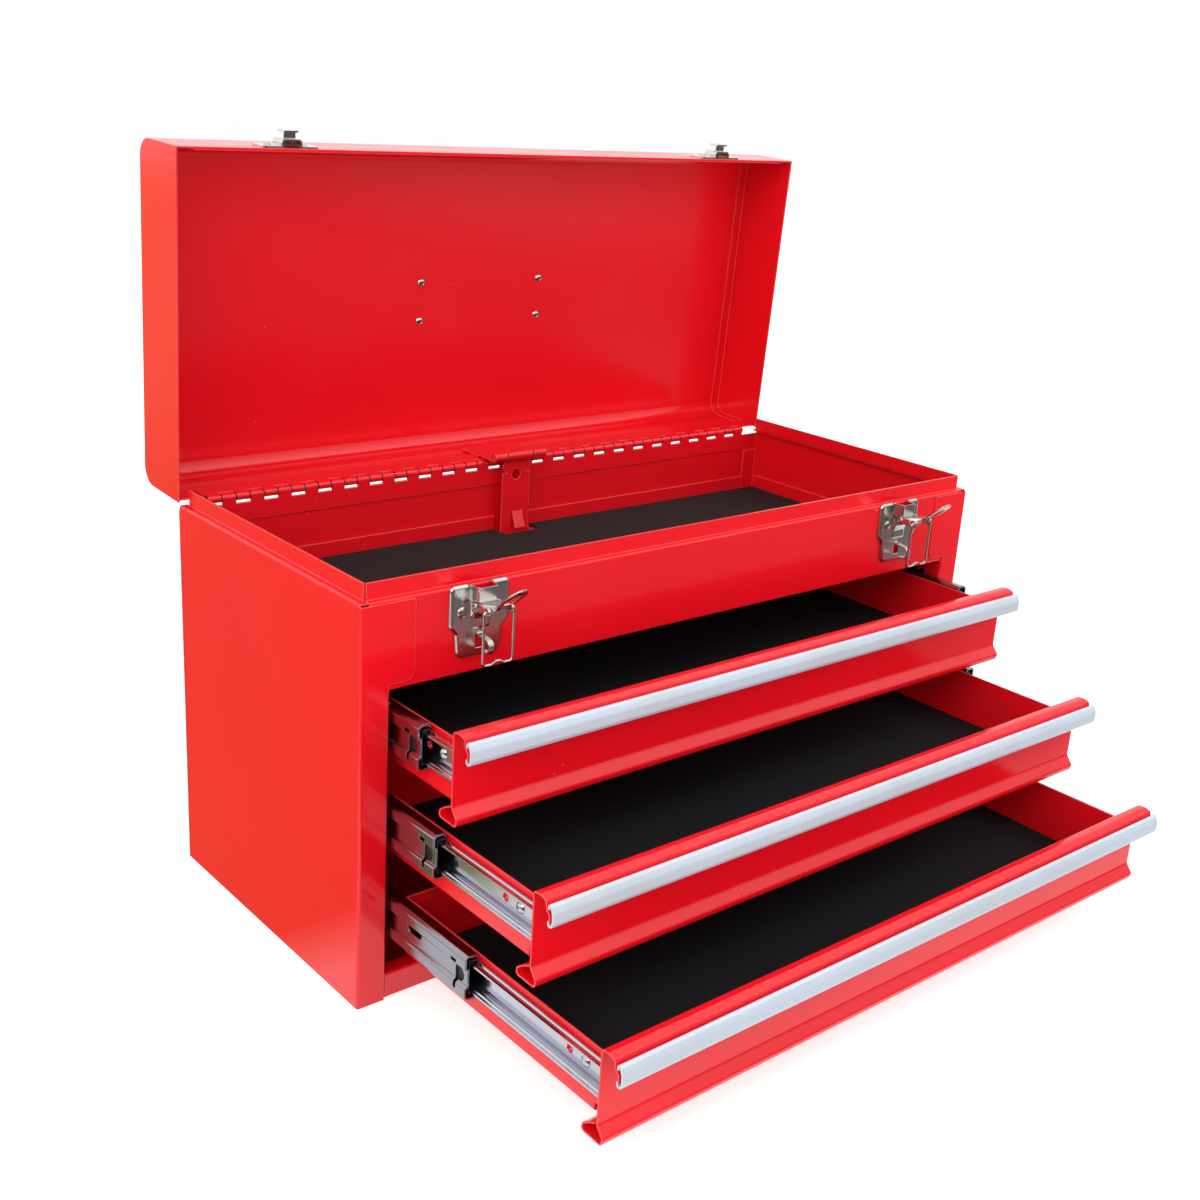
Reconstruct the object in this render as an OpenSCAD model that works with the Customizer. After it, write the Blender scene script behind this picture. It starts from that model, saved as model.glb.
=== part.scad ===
// Portable steel tool box: a lift-up lid over a top tray, and three drawers on
// ball-bearing slides below it. It is drawn as photographed, with the lid open
// and the drawers pulled out in steps. X runs to the right, Y to the rear and
// Z up. The origin lies under the middle of the cabinet.

/* [Cabinet] */
// Width of the cabinet
body_w = 520; // [480:5:600]
// Depth of the cabinet
body_d = 220; // [214:1:240]
// Thickness of the body sheet
sheet = 1.0; // [0.8:0.1:1.2]
// Inside radius of the sheet's bends
bend_r = 0.6; // [0.4:0.1:1]
// Height of the opening's sill above the ground
rail_h = 16.4; // [12:0.2:24]
// Width of the corner posts beside the drawers
post_w = 19; // [17:0.5:24]
// Depth of the posts' inward return
post_return = 30; // [26:1:36]
// Width of the gussets over the tray front
gusset_w = 35; // [30:1:44]
// Radius of the gussets' lower corner
gusset_r = 6; // [3:1:10]
// Depth of the top tray, from its floor to the ledge
tray_depth = 52.3; // [46:0.1:70]
// Height of the rim inside the lid
rim_h = 10; // [6:1:14]
// Distance from the cabinet's side to the rim
rim_in = 5; // [4:0.5:7]

/* [Lid] */
// Height of the lid above the ledge
lid_h = 50; // [40:1:60]
// Radius of the lid's long edges
lid_r = 12; // [8:1:16]
// Angle that the lid stands open
lid_open = 87; // [80:1:92]
// Height of the hem on the lid's front edge
lid_hem = 7; // [5:1:10]
// Distance from the cabinet's front to the lid's front
lid_setback = 2; // [1:0.5:3]

/* [Hinge] */
// Outer diameter of the hinge knuckles
knuckle_d = 5.5; // [5:0.1:6.4]
// Diameter of the hinge pin
hinge_pin_d = 3.2; // [2.8:0.1:3.6]
// Length of one knuckle
knuckle_l = 10.05; // [9:0.05:11]
// Height of each hinge leaf
leaf_h = 16; // [13:1:20]
// Number of knuckles on each leaf
knuckles = 24; // [16:2:24]

/* [Drawers] */
// Distance from one drawer to the next
drawer_pitch = 58.7; // [57:0.1:64]
// Height of a drawer front
front_h = 55.6; // [54:0.2:56]
// Width of the gap beside a drawer front
front_gap = 3; // [2:0.5:4]
// Depth of the drawer body
drawer_l = 188; // [176:1:190]
// Depth of the drawer sides
side_h = 38; // [34:1:39]
// Distance from the front's top down to the drawer sides
side_drop = 11; // [10:1:14]
// Reach of the finger lip in front of the drawer
lip_d = 12; // [10:0.5:13]
// Height of the aluminium trim
trim_h = 13; // [11:0.5:15]
// Distance from the cabinet's front to a closed drawer's front
front_set = 12; // [10:1:16]
// How far the top drawer stands open
open_top = 69.5; // [20:0.5:200]
// How far the middle drawer stands open
open_middle = 143.3; // [20:0.5:200]
// How far the bottom drawer stands open
open_bottom = 202.2; // [20:0.1:204]

/* [Slides] */
// Length of the outer members
slide_l = 190; // [180:1:192]
// Height of the outer members
outer_h = 36; // [34:1:40]
// Height of the middle members over their races
mid_h = 28; // [27:0.5:29]
// Height of the inner members
inner_h = 18; // [16:0.5:19]
// Thickness of the slide's steel
slide_t = 1.2; // [1:0.1:1.4]
// Width of a slide between cabinet and drawer
slide_w = 12; // [11.5:0.5:13]
// Length of the middle members
mid_l = 172; // [160:1:174]
// How far the top drawer's middle members stand out
mid_out_top = 26; // [10:1:30]
// How far the middle drawer's middle members stand out
mid_out_middle = 43.4; // [20:0.2:60]
// How far the bottom drawer's middle members stand out
mid_out_bottom = 76.8; // [40:0.2:90]

/* [Latches] */
// Distance from the cabinet's side to the middle of a latch
latch_in = 76.5; // [40:0.5:110]
// Width of the latch plates
plate_w = 38.8; // [36:0.2:44]
// Height of the latch plates
plate_h = 40; // [38:0.5:43]
// Width of the raised channel
channel_w = 14; // [12:0.5:15]
// Height of the raised channel
channel_h = 5.5; // [5:0.1:6]
// Thickness of the latch steel
latch_t = 1.2; // [1:0.1:1.4]
// Length of the levers from their pin
lever_l = 36; // [34:1:38]
// Angle that the open levers point up
lever_up = 26; // [10:1:40]
// Length of the wire bails
bail_l = 31.5; // [30.5:0.5:32.5]
// Diameter of the bail wire
bail_d = 1.8; // [1.5:0.1:2.2]

/* [Handle] */
// Distance between the handle's brackets
handle_span = 105; // [90:1:130]
// Distance from the handle's axle to its grip
handle_reach = 40; // [34:1:50]
// Diameter of the handle rod
rod_d = 6; // [5:0.5:7]
// Thickness of the grip
grip_t = 13; // [11:0.5:15]
// Breadth of the grip
grip_b = 24; // [20:1:28]

/* [Lock bar] */
// Width of the lock bar
bar_w = 25; // [20:1:30]
// Diameter of the lock bar's knuckle
bar_knuckle_d = 6.6; // [6:0.1:7.2]
// Diameter of the lock bar's pin
bar_pin_d = 3.4; // [3:0.1:3.8]

/* [Liners] */
// Thickness of the tray's foam liner
tray_liner_t = 2.5; // [1.5:0.5:4]
// Thickness of the drawers' liners
drawer_liner_t = 2; // [1:0.5:3]

/* [Hidden] */

RED = [0.86, 0.09, 0.10];
STEEL = [0.72, 0.72, 0.70];
NICKEL = [0.66, 0.64, 0.60];
ALUMINIUM = [0.85, 0.88, 0.93];
FOAM = [0.07, 0.07, 0.08];
PLASTIC = [0.05, 0.05, 0.05];

// Clearances
gap = 0.3;          // between faces that must not touch
run = 0.05;         // radial play of a pin in its bore
drawer_gap = 2;     // under the tray and over the sill
round_r = 3;        // rounded corners of small plates

// Places that follow from the sizes
half_w = body_w / 2;
half_d = body_d / 2;
front_y = -half_d;
opening_w = body_w - 2 * post_w;
front_w = opening_w - 2 * front_gap;
sill_gap = 5.3;
toe_z = rail_h + sill_gap;
lip_top = [toe_z + front_h + 2 * drawer_pitch, toe_z + front_h + drawer_pitch, toe_z + front_h];
opening_z = lip_top[0] + drawer_gap;
floor_z = opening_z + sheet;
body_h = floor_z + tray_depth;
opens = [open_top, open_middle, open_bottom];
mid_outs = [mid_out_top, mid_out_middle, mid_out_bottom];
drawer_w = opening_w - 2 * slide_w;
drawer_y = front_y + front_set;
slide_y = drawer_y + sheet + gap;
slide_drop = 23;
hinge_y = half_d - 2 * sheet + knuckle_d / 2;
hinge_z = body_h + gap + 0.2;
lid_front = front_y + lid_setback;
lid_top = body_h + lid_h;
latch_y = front_y + sheet;
latch_z = body_h - 0.5;
latch_x = half_w - latch_in;

// ---- helpers ----
// Draws a YZ outline from x0 to x1.
module along_x(x0, x1) {
    translate([x0, 0, 0]) rotate([90, 0, 90]) linear_extrude(x1 - x0) children();
}

// Draws an XZ outline from y0 to y1.
module along_y(y0, y1) {
    translate([0, y1, 0]) rotate([90, 0, 0]) linear_extrude(y1 - y0) children();
}

// Draws an XY outline from z0 to z1.
module along_z(z0, z1) {
    translate([0, 0, z0]) linear_extrude(z1 - z0) children();
}

// A box between two corners.
module block(a, b) {
    translate(a) cube(b - a);
}

// A rod along X.
module rod_x(x0, x1, y, z, d) {
    translate([x0, y, z]) rotate([0, 90, 0]) cylinder(h = x1 - x0, d = d, $fn = 40);
}

// A rod along Y.
module rod_y(x, y0, y1, z, d) {
    translate([x, y0, z]) rotate([-90, 0, 0]) cylinder(h = y1 - y0, d = d, $fn = 32);
}

// A rectangle with rounded corners.
module plate_2d(w, h, r) {
    union() {
        square([w - 2 * r, h], center = true);
        square([w, h - 2 * r], center = true);
        for (sx = [-1, 1]) for (sy = [-1, 1])
            translate([sx * (w / 2 - r), sy * (h / 2 - r)]) circle(r, $fn = 32);
    }
}

// A domed rivet head on a plane at y, facing the front, with its shank behind.
module rivet_front(x, y, z, d, grip) {
    translate([x, y, z]) rotate([90, 0, 0]) dome(d);
    rod_y(x, y, y + grip, z, d / 2);
}

// A low dome of diameter d standing on the XY plane.
module dome(d) {
    rise = d * 0.28;
    ball = (d * d / 4 + rise * rise) / (2 * rise);
    intersection() {
        translate([0, 0, rise - ball]) sphere(ball, $fn = 48);
        cylinder(h = rise, d = d, $fn = 40);
    }
}

// Turns what is drawn with the lid closed to where the lid stands.
module on_lid() {
    translate([0, hinge_y, hinge_z]) rotate([-lid_open, 0, 0])
        translate([0, -hinge_y, -hinge_z]) children();
}

module both_sides() {
    children();
    mirror([1, 0, 0]) children();
}

// Bent strips: a centre line through points, each corner rounded
function unit(v) = v / norm(v);
function left_of(v) = [-v[1], v[0]];
function turn(v, a) = [v[0] * cos(a) - v[1] * sin(a), v[0] * sin(a) + v[1] * cos(a)];
function corner(p, q, s, r, off, n) =
    let (u = unit(q - p), v = unit(s - q),
         side = sign(u[0] * v[1] - u[1] * v[0]),
         a = acos(max(-1, min(1, u * v))),
         c = q - u * r * tan(a / 2) + side * r * left_of(u),
         arm = -side * (r - side * off) * left_of(u))
    [for (k = [0:n]) c + turn(arm, side * a * k / n)];
function strip_side(pts, rs, off, n) =
    let (m = len(pts))
    concat([pts[0] + left_of(unit(pts[1] - pts[0])) * off],
        [for (i = [1:m - 2]) each corner(pts[i - 1], pts[i], pts[i + 1], rs[i - 1], off, n)],
        [pts[m - 1] + left_of(unit(pts[m - 1] - pts[m - 2])) * off]);
function reversed(v) = [for (i = [len(v) - 1:-1:0]) v[i]];
function strip(pts, t, rs, n = 4) =
    concat(strip_side(pts, rs, t / 2, n), reversed(strip_side(pts, rs, -t / 2, n)));
function same(r, pts) = [for (i = [2:len(pts) - 1]) r];

// ---- cabinet ----
wall_c = sheet / 2;            // middle of a sheet from its outer face
bend_c = bend_r + sheet / 2;   // middle line radius of a bend
rear_flange = 14;
gusset_drop = tray_depth - 3;

// A side panel with its corner post, drawn on the left.
module side_panel() {
    x = -half_w + wall_c;
    rear = half_d - sheet - wall_c;
    front = front_y + wall_c;
    lower = [[x + rear_flange, rear], [x, rear], [x, front],
        [-opening_w / 2 - wall_c, front], [-opening_w / 2 - wall_c, front + post_return]];
    upper = [[x + rear_flange, rear], [x, rear], [x, front], [-half_w + gusset_w, front]];
    jog = [[x, body_h - tray_depth / 2], [x, body_h - wall_c], [x + rim_in, body_h - wall_c],
        [x + rim_in, body_h + rim_h]];
    difference() {
        along_z(0, opening_z) polygon(strip(lower, sheet, same(bend_c, lower)));
        slide_rivet_holes(slide_rivet_y[0]);
    }
    difference() {
        along_z(opening_z, body_h - sheet - bend_r) polygon(strip(upper, sheet, same(bend_c, upper)));
        gusset_corner();
        block([-half_w + sheet, rear - sheet, body_h - leaf_h - gap - sheet],
            [-half_w + rear_flange + sheet, rear + sheet, body_h + rim_h]);
    }
    along_y(front_y + bend_r + sheet, half_d - sheet)
        polygon(strip([jog[0], jog[1], jog[2]], sheet, [bend_c]));
    along_y(front_y + rim_in + sheet, half_d - 2 * sheet - rim_in / 2)
        polygon(strip([jog[1] + [wall_c, 0], jog[2], jog[3]], sheet, [bend_c]));
}

// Holes for the rivets that carry the slides, at y.
module slide_rivet_holes(y) {
    for (i = [0:2]) rod_x(slide_x - 3 * sheet, slide_x + 1, y, slide_z(i), slide_rivet_d);
}

// The waste outside the gusset's rounded lower corner.
module gusset_corner() {
    along_y(front_y - 1, front_y + sheet + gap) difference() {
        translate([-half_w + gusset_w - gusset_r, opening_z - 1])
            square([gusset_r + 1, body_h - gusset_drop - opening_z + gusset_r + 1]);
        translate([-half_w + gusset_w - gusset_r, body_h - gusset_drop + gusset_r])
            circle(gusset_r, $fn = 48);
    }
    along_y(front_y - 1, front_y + sheet + gap)
        translate([-opening_w / 2 - bend_r, opening_z - 1])
        square([gusset_w - post_w + bend_r - gusset_r + 0.01, body_h - gusset_drop - opening_z + 1]);
}

module side_panel_left() {
    color(RED) side_panel();
}

module side_panel_right() {
    color(RED) mirror([1, 0, 0]) side_panel();
}

slot_clear = knuckle_d / 2 + 1.3;   // from the hinge's axis to the rear panel's top

module rear_panel() {
    color(RED) block([-half_w, half_d - sheet, 0], [half_w, half_d, hinge_z - slot_clear]);
}

// Bottom with an upturned front rail and a low rear flange.
module bottom_panel() {
    y0 = front_y + sheet + wall_c;
    y1 = half_d - 2 * sheet - wall_c;
    rail_back = 10;
    edge_up = 9;
    rail = [[y0 + rail_back, rail_h - wall_c], [y0, rail_h - wall_c], [y0, wall_c], [y1 - 20, wall_c]];
    back = [[y0 + post_return, wall_c], [y1, wall_c], [y1, edge_up]];
    color(RED) {
        along_x(-opening_w / 2 + gap, opening_w / 2 - gap)
            polygon(strip(rail, sheet, same(bend_c, rail)));
        along_x(-half_w + rear_flange + 2 * sheet, half_w - rear_flange - 2 * sheet)
            polygon(strip(back, sheet, same(bend_c, back)));
        block([-half_w + sheet, front_y + post_return + sheet, 0],
            [half_w - sheet, half_d - 3 * sheet, sheet]);
    }
}

module front_tray_panel() {
    y = front_y + sheet + wall_c;
    shelf = 14;
    face = [[y + shelf, opening_z + wall_c], [y, opening_z + wall_c], [y, body_h - wall_c],
        [y + rim_in - sheet, body_h - wall_c], [y + rim_in - sheet, body_h + rim_h]];
    color(RED) difference() {
        along_x(-half_w + sheet + bend_r, half_w - sheet - bend_r)
            polygon(strip(face, sheet, same(bend_c, face)));
        both_sides() {
            block([half_w - rim_in - sheet - gap, front_y, body_h + gap / 3],
                [half_w + 1, half_d, body_h + rim_h + 1]);
            block([half_w - rim_in - sheet, front_y + sheet, body_h - 2 * sheet],
                [half_w + 1, half_d, body_h + rim_h + 1]);
        }
    }
}

bar_y = hinge_y - 12.35;      // lock bar's pin, lid open
bar_z = hinge_z + 6.8;
bar_slot_w = bar_w + 3;
bar_slot_y = bar_y - 5.5;     // front edge of the bar's slot in the tray floor

module tray_floor() {
    lip = 13;
    x = half_w - sheet - wall_c;
    y = half_d - 2 * sheet - wall_c;
    pan = [[-x, floor_z + lip], [-x, floor_z + wall_c], [x, floor_z + wall_c], [x, floor_z + lip]];
    back = [[0, floor_z + wall_c], [y, floor_z + wall_c], [y, floor_z + lip]];
    color(RED) difference() {
        union() {
            along_y(front_y + 2 * sheet + bend_r, y - 2 * sheet)
                polygon(strip(pan, sheet, same(bend_c, pan)));
            along_x(-x + rear_flange, x - rear_flange) polygon(strip(back, sheet, same(bend_c, back)));
        }
        block([-bar_slot_w / 2, bar_slot_y, floor_z - 1], [bar_slot_w / 2, half_d, floor_z + lip + 1]);
    }
}

module tray_liner() {
    edge = 2 * sheet + 1;
    z = floor_z + sheet;
    color(FOAM) difference() {
        block([-half_w + edge, front_y + edge, z], [half_w - edge, half_d - edge - sheet, z + tray_liner_t]);
        block([-bar_slot_w / 2 - 1, bar_slot_y - 1, z - 1],
            [bar_slot_w / 2 + 4, half_d, z + tray_liner_t + 1]);
    }
}

// ---- hinge ----
pitch = 2 * knuckle_l;
hinge_l = pitch * knuckles;
leaf_cut = knuckle_d / 2 + 0.7;

// A leaf with its row of knuckles, at y and from z0 to the axis. The first one starts at x0.
module leaf(x0, count, up) {
    y0 = hinge_y - knuckle_d / 2;
    tip = hinge_z + (up ? leaf_h : -leaf_h);
    face = [min(hinge_z, tip), max(hinge_z, tip)];
    notches = [for (k = [0:count]) x0 - knuckle_l + k * pitch];
    difference() {
        union() {
            block([-hinge_l / 2, y0, face[0]], [hinge_l / 2, y0 + sheet, face[1]]);
            for (k = [0:count - 1])
                rod_x(x0 + k * pitch + 0.1, x0 + k * pitch + knuckle_l - 0.1, hinge_y, hinge_z, knuckle_d);
        }
        for (x = notches)
            block([x - 0.1, y0 - 1, hinge_z - (up ? knuckle_d : slot_clear)],
                [x + knuckle_l + 0.1, half_d + knuckle_d, hinge_z + (up ? leaf_cut : knuckle_d)]);
        rod_x(-hinge_l, hinge_l, hinge_y, hinge_z, hinge_pin_d + 2 * run);
    }
}

module hinge_leaf_body() {
    color(RED) leaf(-hinge_l / 2 + knuckle_l, knuckles, false);
}

module hinge_leaf_lid() {
    color(RED) on_lid() leaf(-hinge_l / 2, knuckles, true);
}

module hinge_pin() {
    head = 1;
    color(RED) {
        rod_x(-hinge_l / 2 - head, hinge_l / 2 + head, hinge_y, hinge_z, hinge_pin_d);
        for (s = [-1, 1])
            rod_x(s * (hinge_l / 2 + head) - head / 2, s * (hinge_l / 2 + head) + head / 2,
                hinge_y, hinge_z, knuckle_d - 1);
    }
}

// ---- drawer supports and slides ----
upright_in = 40;                  // from the rear panel to the uprights
upright_lip = 12;                // their welding lip on the side panel
upright_y = half_d - 2 * sheet - upright_in;

module rear_uprights() {
    x = -half_w + sheet + wall_c;
    xi = -opening_w / 2 - wall_c;
    z = [[x, upright_y - upright_lip], [x, upright_y], [xi, upright_y],
        [xi, half_d - 2 * sheet - rear_flange / 2]];
    color(RED) both_sides() difference() {
        along_z(sheet, opening_z) polygon(strip(z, sheet, same(bend_c, z)));
        slide_rivet_holes(slide_rivet_y[1]);
    }
}

// Cross-sections of the left slide, as centre lines in X and Z about its middle
slide_x = -opening_w / 2;
outer_c = slide_t / 2;
outer_upper = [[slide_x + slide_w - 3.4, outer_h / 2 - 1.8],
    [slide_x + slide_w - 4.4, outer_h / 2 - outer_c], [slide_x + outer_c, outer_h / 2 - outer_c]];
outer_line = concat(outer_upper, flipped(outer_upper));
mid_x = slide_x + slide_t + gap;
mid_web = mid_h / 2 - 1.7;
web_step = 1.8;                  // the middle member's raised web, towards the drawer
web_half = 5.1;
mid_upper = [[slide_x + slide_w - 1.9, mid_web - 0.6], [slide_x + slide_w - 3.2, mid_h / 2 - outer_c],
    [mid_x + 2.7, mid_h / 2 - outer_c], [mid_x + outer_c, mid_web - 0.4],
    [mid_x + outer_c, web_half + 1.2], [mid_x + outer_c + web_step, web_half]];
mid_line = concat(mid_upper, flipped(mid_upper));
inner_x = slide_x + slide_w;
inner_tip = mid_x + slide_t + web_step + 0.85;
inner_c = inner_h / 2 - outer_c;
race = 0.9;                      // depth of the groove that the balls run in
inner_upper = [[inner_tip, inner_c], [inner_tip + 1.5, inner_c], [inner_tip + 2.5, inner_c - race],
    [inner_tip + 3.9, inner_c - race], [inner_tip + 4.9, inner_c], [inner_x - outer_c, inner_c]];
inner_line = concat(inner_upper, flipped(inner_upper));

// The mirror image of a half cross-section, in the order that closes it.
function flipped(v) = [for (i = [len(v) - 1:-1:0]) [v[i][0], -v[i][1]]];
function slide_z(i) = lip_top[i] - slide_drop;

// One slide member on each side, from y0 to y1.
module member(line, r, i, y0, y1) {
    both_sides() translate([0, 0, slide_z(i)]) difference() {
        along_y(y0, y1) polygon(strip(line, slide_t, same(r, line), 3));
        children();
    }
}

module slide_outer(i) {
    color(STEEL) member(outer_line, 0.9, i, slide_y, slide_y + slide_l)
        for (y = slide_rivet_y) rod_x(slide_x - 1, slide_x + slide_t + 1, y, 0, slide_rivet_d);
}

slide_rivet_y = [slide_y + 9, half_d - 2 * sheet - 22];
slide_rivet_d = 5;

// Rivets with their heads behind the posts and uprights, flush inside the slides.
module slide_rivets() {
    head = 1.2;
    color(STEEL) both_sides() for (i = [0:2]) for (y = slide_rivet_y) {
        rod_x(slide_x - sheet - head, slide_x - sheet, y, slide_z(i), slide_rivet_d + 3);
        rod_x(slide_x - sheet - 0.1, slide_x + slide_t - 0.1, y, slide_z(i), slide_rivet_d);
    }
}

module slide_outer_top() { slide_outer(0); }
module slide_outer_middle() { slide_outer(1); }
module slide_outer_bottom() { slide_outer(2); }

// Middle member: a stepped web with long holes, and a cut at its front that shows the ball cage.
module slide_mid(i) {
    y = front_y - mid_outs[i];
    hole_w = 6;
    hole_l = 14;
    hole_up = 3.4;
    cut_w = 2.4;
    color(STEEL) member(mid_line, 0.7, i, y, y + mid_l) {
        for (s = [52, 104, 140]) along_slide(y + s, hole_up) union() {
            square([hole_l - hole_w, hole_w], center = true);
            for (e = [-1, 1]) translate([e * (hole_l - hole_w) / 2, 0]) circle(d = hole_w, $fn = 32);
        }
        along_slide(y + 8.6, 0) union() {
            translate([0, -9.6]) square([cut_w, 18.2]);
            translate([0, 6.4]) square([cut_w + 2.6, 2.2]);
            intersection() {
                scale([1.25, 1]) circle(4.6, $fn = 40);
                translate([-6.1, -4.6]) square([6.2, 9.2]);
            }
        }
    }
}

// Cuts an outline of length and height through the left slide's web, at y and z.
module along_slide(y, z) {
    translate([mid_x - 1, y, z]) rotate([90, 0, 90]) linear_extrude(web_step + slide_t + 2) children();
}

// Ball cage: a plastic carrier between the middle and the inner member.
module ball_cage(i) {
    y = front_y - mid_outs[i];
    x0 = mid_x + slide_t + web_step + 0.15;
    x1 = inner_x - slide_t - 0.6;
    long = 46;
    bridge = 16;
    arm = 1.3;
    top = inner_h / 2 + gap;
    color(PLASTIC) both_sides() translate([0, y, slide_z(i)]) {
        for (s = [-1, 1]) block([x0 + 1.8, 0.5, s > 0 ? top : -top - arm],
            [x1, long, s > 0 ? top + arm : -top]);
        block([x0, 0.5, -top - arm], [x0 + 0.4, bridge, top + arm]);
        for (s = [-1, 1]) block([x0, 0.5, s > 0 ? top : -top - arm],
            [x1, 6, s > 0 ? top + arm : -top]);
    }
}

module slide_inner(i) {
    y = drawer_y + sheet + gap - opens[i];
    color(STEEL) member(inner_line, 0.8, i, y, y + drawer_l - 2 * sheet) {
        rod_x(inner_x - slide_t - 1, inner_x + 1, y + inner_hole_y, 0, 5);
        for (s = inner_rivet_y) rod_x(inner_x - slide_t - 1, inner_x + 1, y + s, 0, inner_rivet_d + 0.2);
    }
}

// Rivets between the inner members and the drawer, measured from the member's front end
inner_rivet_y = [19, drawer_l - 30];
inner_hole_y = 32;
inner_rivet_d = 4.4;

module drawer_rivets(i) {
    y = drawer_y + sheet + gap - opens[i];
    color(STEEL) both_sides() for (s = inner_rivet_y)
        translate([inner_x - slide_t, y + s, slide_z(i)]) rotate([0, -90, 0]) {
            dome(7);
            translate([0, 0, -slide_t - sheet + 0.1])
                cylinder(h = slide_t + sheet - 0.1, d = inner_rivet_d, $fn = 32);
        }
}

// ---- drawers ----
tab_w = 10;                      // welding tabs behind the front
side_z = side_drop + side_h;
curl_d = 12;                     // reach of the front's curled toe under the drawer
notch_w = 20;                    // notch in the rear wall for the lock bar's hook
notch_h = 13;

module drawer_body(i) {
    y = drawer_y + sheet - opens[i];
    top = lip_top[i] - side_drop;
    base = top - side_h;
    x = drawer_w / 2 - wall_c;
    rear = y - sheet + drawer_l;
    toe_top = lip_top[i] - front_h + 12;   // clear of the front's curled toe
    pan = [[-x, top], [-x, base + wall_c], [x, base + wall_c], [x, top]];
    color(RED) difference() {
        union() {
            along_y(y, rear) polygon(strip(pan, sheet, same(bend_c, pan)));
            along_y(rear - sheet, rear) translate([-x, base + wall_c]) square([2 * x, side_h - wall_c]);
            both_sides() along_y(y, y + sheet) translate([x - tab_w, toe_top + 2])
                square([tab_w, side_h - 10]);
        }
        block([-half_w, y - 1, base - 1], [half_w, y + curl_d, toe_top]);
        block([-notch_w / 2, rear - 2 * sheet, top - notch_h], [notch_w / 2, rear + 1, top + 1]);
        both_sides() for (s = inner_rivet_y)
            rod_x(drawer_w / 2 - 2 * sheet, drawer_w / 2 + 1, y + gap + s, slide_z(i), inner_rivet_d + 0.2);
    }
}

// Front: a finger lip that ends in the trim, a flat face, and a toe curled back under.
module drawer_front(i) {
    tongue = lip_d + 0.6;
    lip = [[-tongue, -trim_h], [-tongue, -trim_h / 2 - 2.2], [-lip_d + 1.8, -6.2], [-lip_d + 3.1, -1.5],
        [-5, -wall_c], [wall_c, -wall_c - 0.4]];
    toe = [[wall_c, 10.4], [-4.4, 4.4], [-2.9, wall_c], [curl_d - 0.1, 0.9], [curl_d - 0.8, 5],
        [curl_d - 5.4, 8.3], [1.9, 10.6]];
    face = concat(lip, [for (p = toe) p - [0, front_h]]);
    bends = [1, 1, 1.2, 6, 1.8, 4, 2, 1.4, 1.8, 2.2, 6];
    color(RED) translate([0, drawer_y - opens[i], lip_top[i]])
        along_x(-front_w / 2, front_w / 2) polygon(strip(face, sheet, bends, 6));
}

// Trim: an extruded strip that clips over the lip's edge.
module drawer_trim(i) {
    t = 1.1;
    back = -lip_d + 0.5;
    nose = -lip_d - 3.9;
    top = -2.2;
    low = top - trim_h;
    ring = [[back, top - 3], [back, top - t / 2], [nose + 1.5, top - t / 2],
        [nose + t / 2, top - trim_h * 0.42], [nose + 1.6, low + t / 2], [back, low + t / 2], [back, low + 3]];
    color(ALUMINIUM) translate([0, drawer_y - opens[i], lip_top[i]])
        along_x(-front_w / 2, front_w / 2) polygon(strip(ring, t, [0.8, 1.6, 7, 1.6, 1], 5));
}

module drawer_liner(i) {
    y = drawer_y + sheet - opens[i];
    z = lip_top[i] - side_z + sheet;
    e = 2 * sheet;
    color(FOAM) block([-drawer_w / 2 + e, y + curl_d + 2 * gap, z],
        [drawer_w / 2 - e, y - sheet + drawer_l - e, z + drawer_liner_t]);
}

module drawer_body_top() { drawer_body(0); }
module drawer_body_middle() { drawer_body(1); }
module drawer_body_bottom() { drawer_body(2); }
module drawer_front_top() { drawer_front(0); }
module drawer_front_middle() { drawer_front(1); }
module drawer_front_bottom() { drawer_front(2); }
module drawer_trim_top() { drawer_trim(0); }
module drawer_trim_middle() { drawer_trim(1); }
module drawer_trim_bottom() { drawer_trim(2); }
module drawer_liner_top() { drawer_liner(0); }
module drawer_liner_middle() { drawer_liner(1); }
module drawer_liner_bottom() { drawer_liner(2); }
module slide_inner_top() { slide_inner(0); }
module slide_inner_middle() { slide_inner(1); }
module slide_inner_bottom() { slide_inner(2); }
module drawer_rivets_top() { drawer_rivets(0); }
module drawer_rivets_middle() { drawer_rivets(1); }
module drawer_rivets_bottom() { drawer_rivets(2); }
module slide_mid_top() { slide_mid(0); }
module slide_mid_middle() { slide_mid(1); }
module slide_mid_bottom() { slide_mid(2); }
module ball_cage_top() { ball_cage(0); }
module ball_cage_middle() { ball_cage(1); }
module ball_cage_bottom() { ball_cage(2); }

// ---- lid ----
// The lid's outline from the side, grown inwards by in.
module lid_outline(in) {
    y0 = lid_front + in;
    y1 = half_d - in;
    r = lid_r - in;
    z1 = lid_top - in;
    union() {
        translate([y0, body_h]) square([y1 - y0, lid_h - in - r]);
        translate([y0 + r, body_h]) square([y1 - y0 - 2 * r, lid_h - in]);
        for (y = [y0 + r, y1 - r]) translate([y, z1 - r]) circle(r, $fn = 64);
    }
}

lid_low = body_h + gap;
lid_rear_low = hinge_z + knuckle_d / 2 + gap;

module lid_shell() {
    color(RED) on_lid() union() {
        along_x(-half_w + sheet, half_w - sheet) difference() {
            lid_outline(0);
            lid_outline(sheet);
            translate([lid_front - 1, body_h - 1]) square([body_d / 2, 1 + gap]);
            translate([half_d - lid_r, body_h - 1]) square([lid_r + 1, lid_rear_low - body_h + 1]);
        }
        block([-half_w + 12, lid_front + sheet - 0.1, lid_low],
            [half_w - 12, lid_front + 2 * sheet, lid_low + lid_hem]);
    }
}

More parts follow.
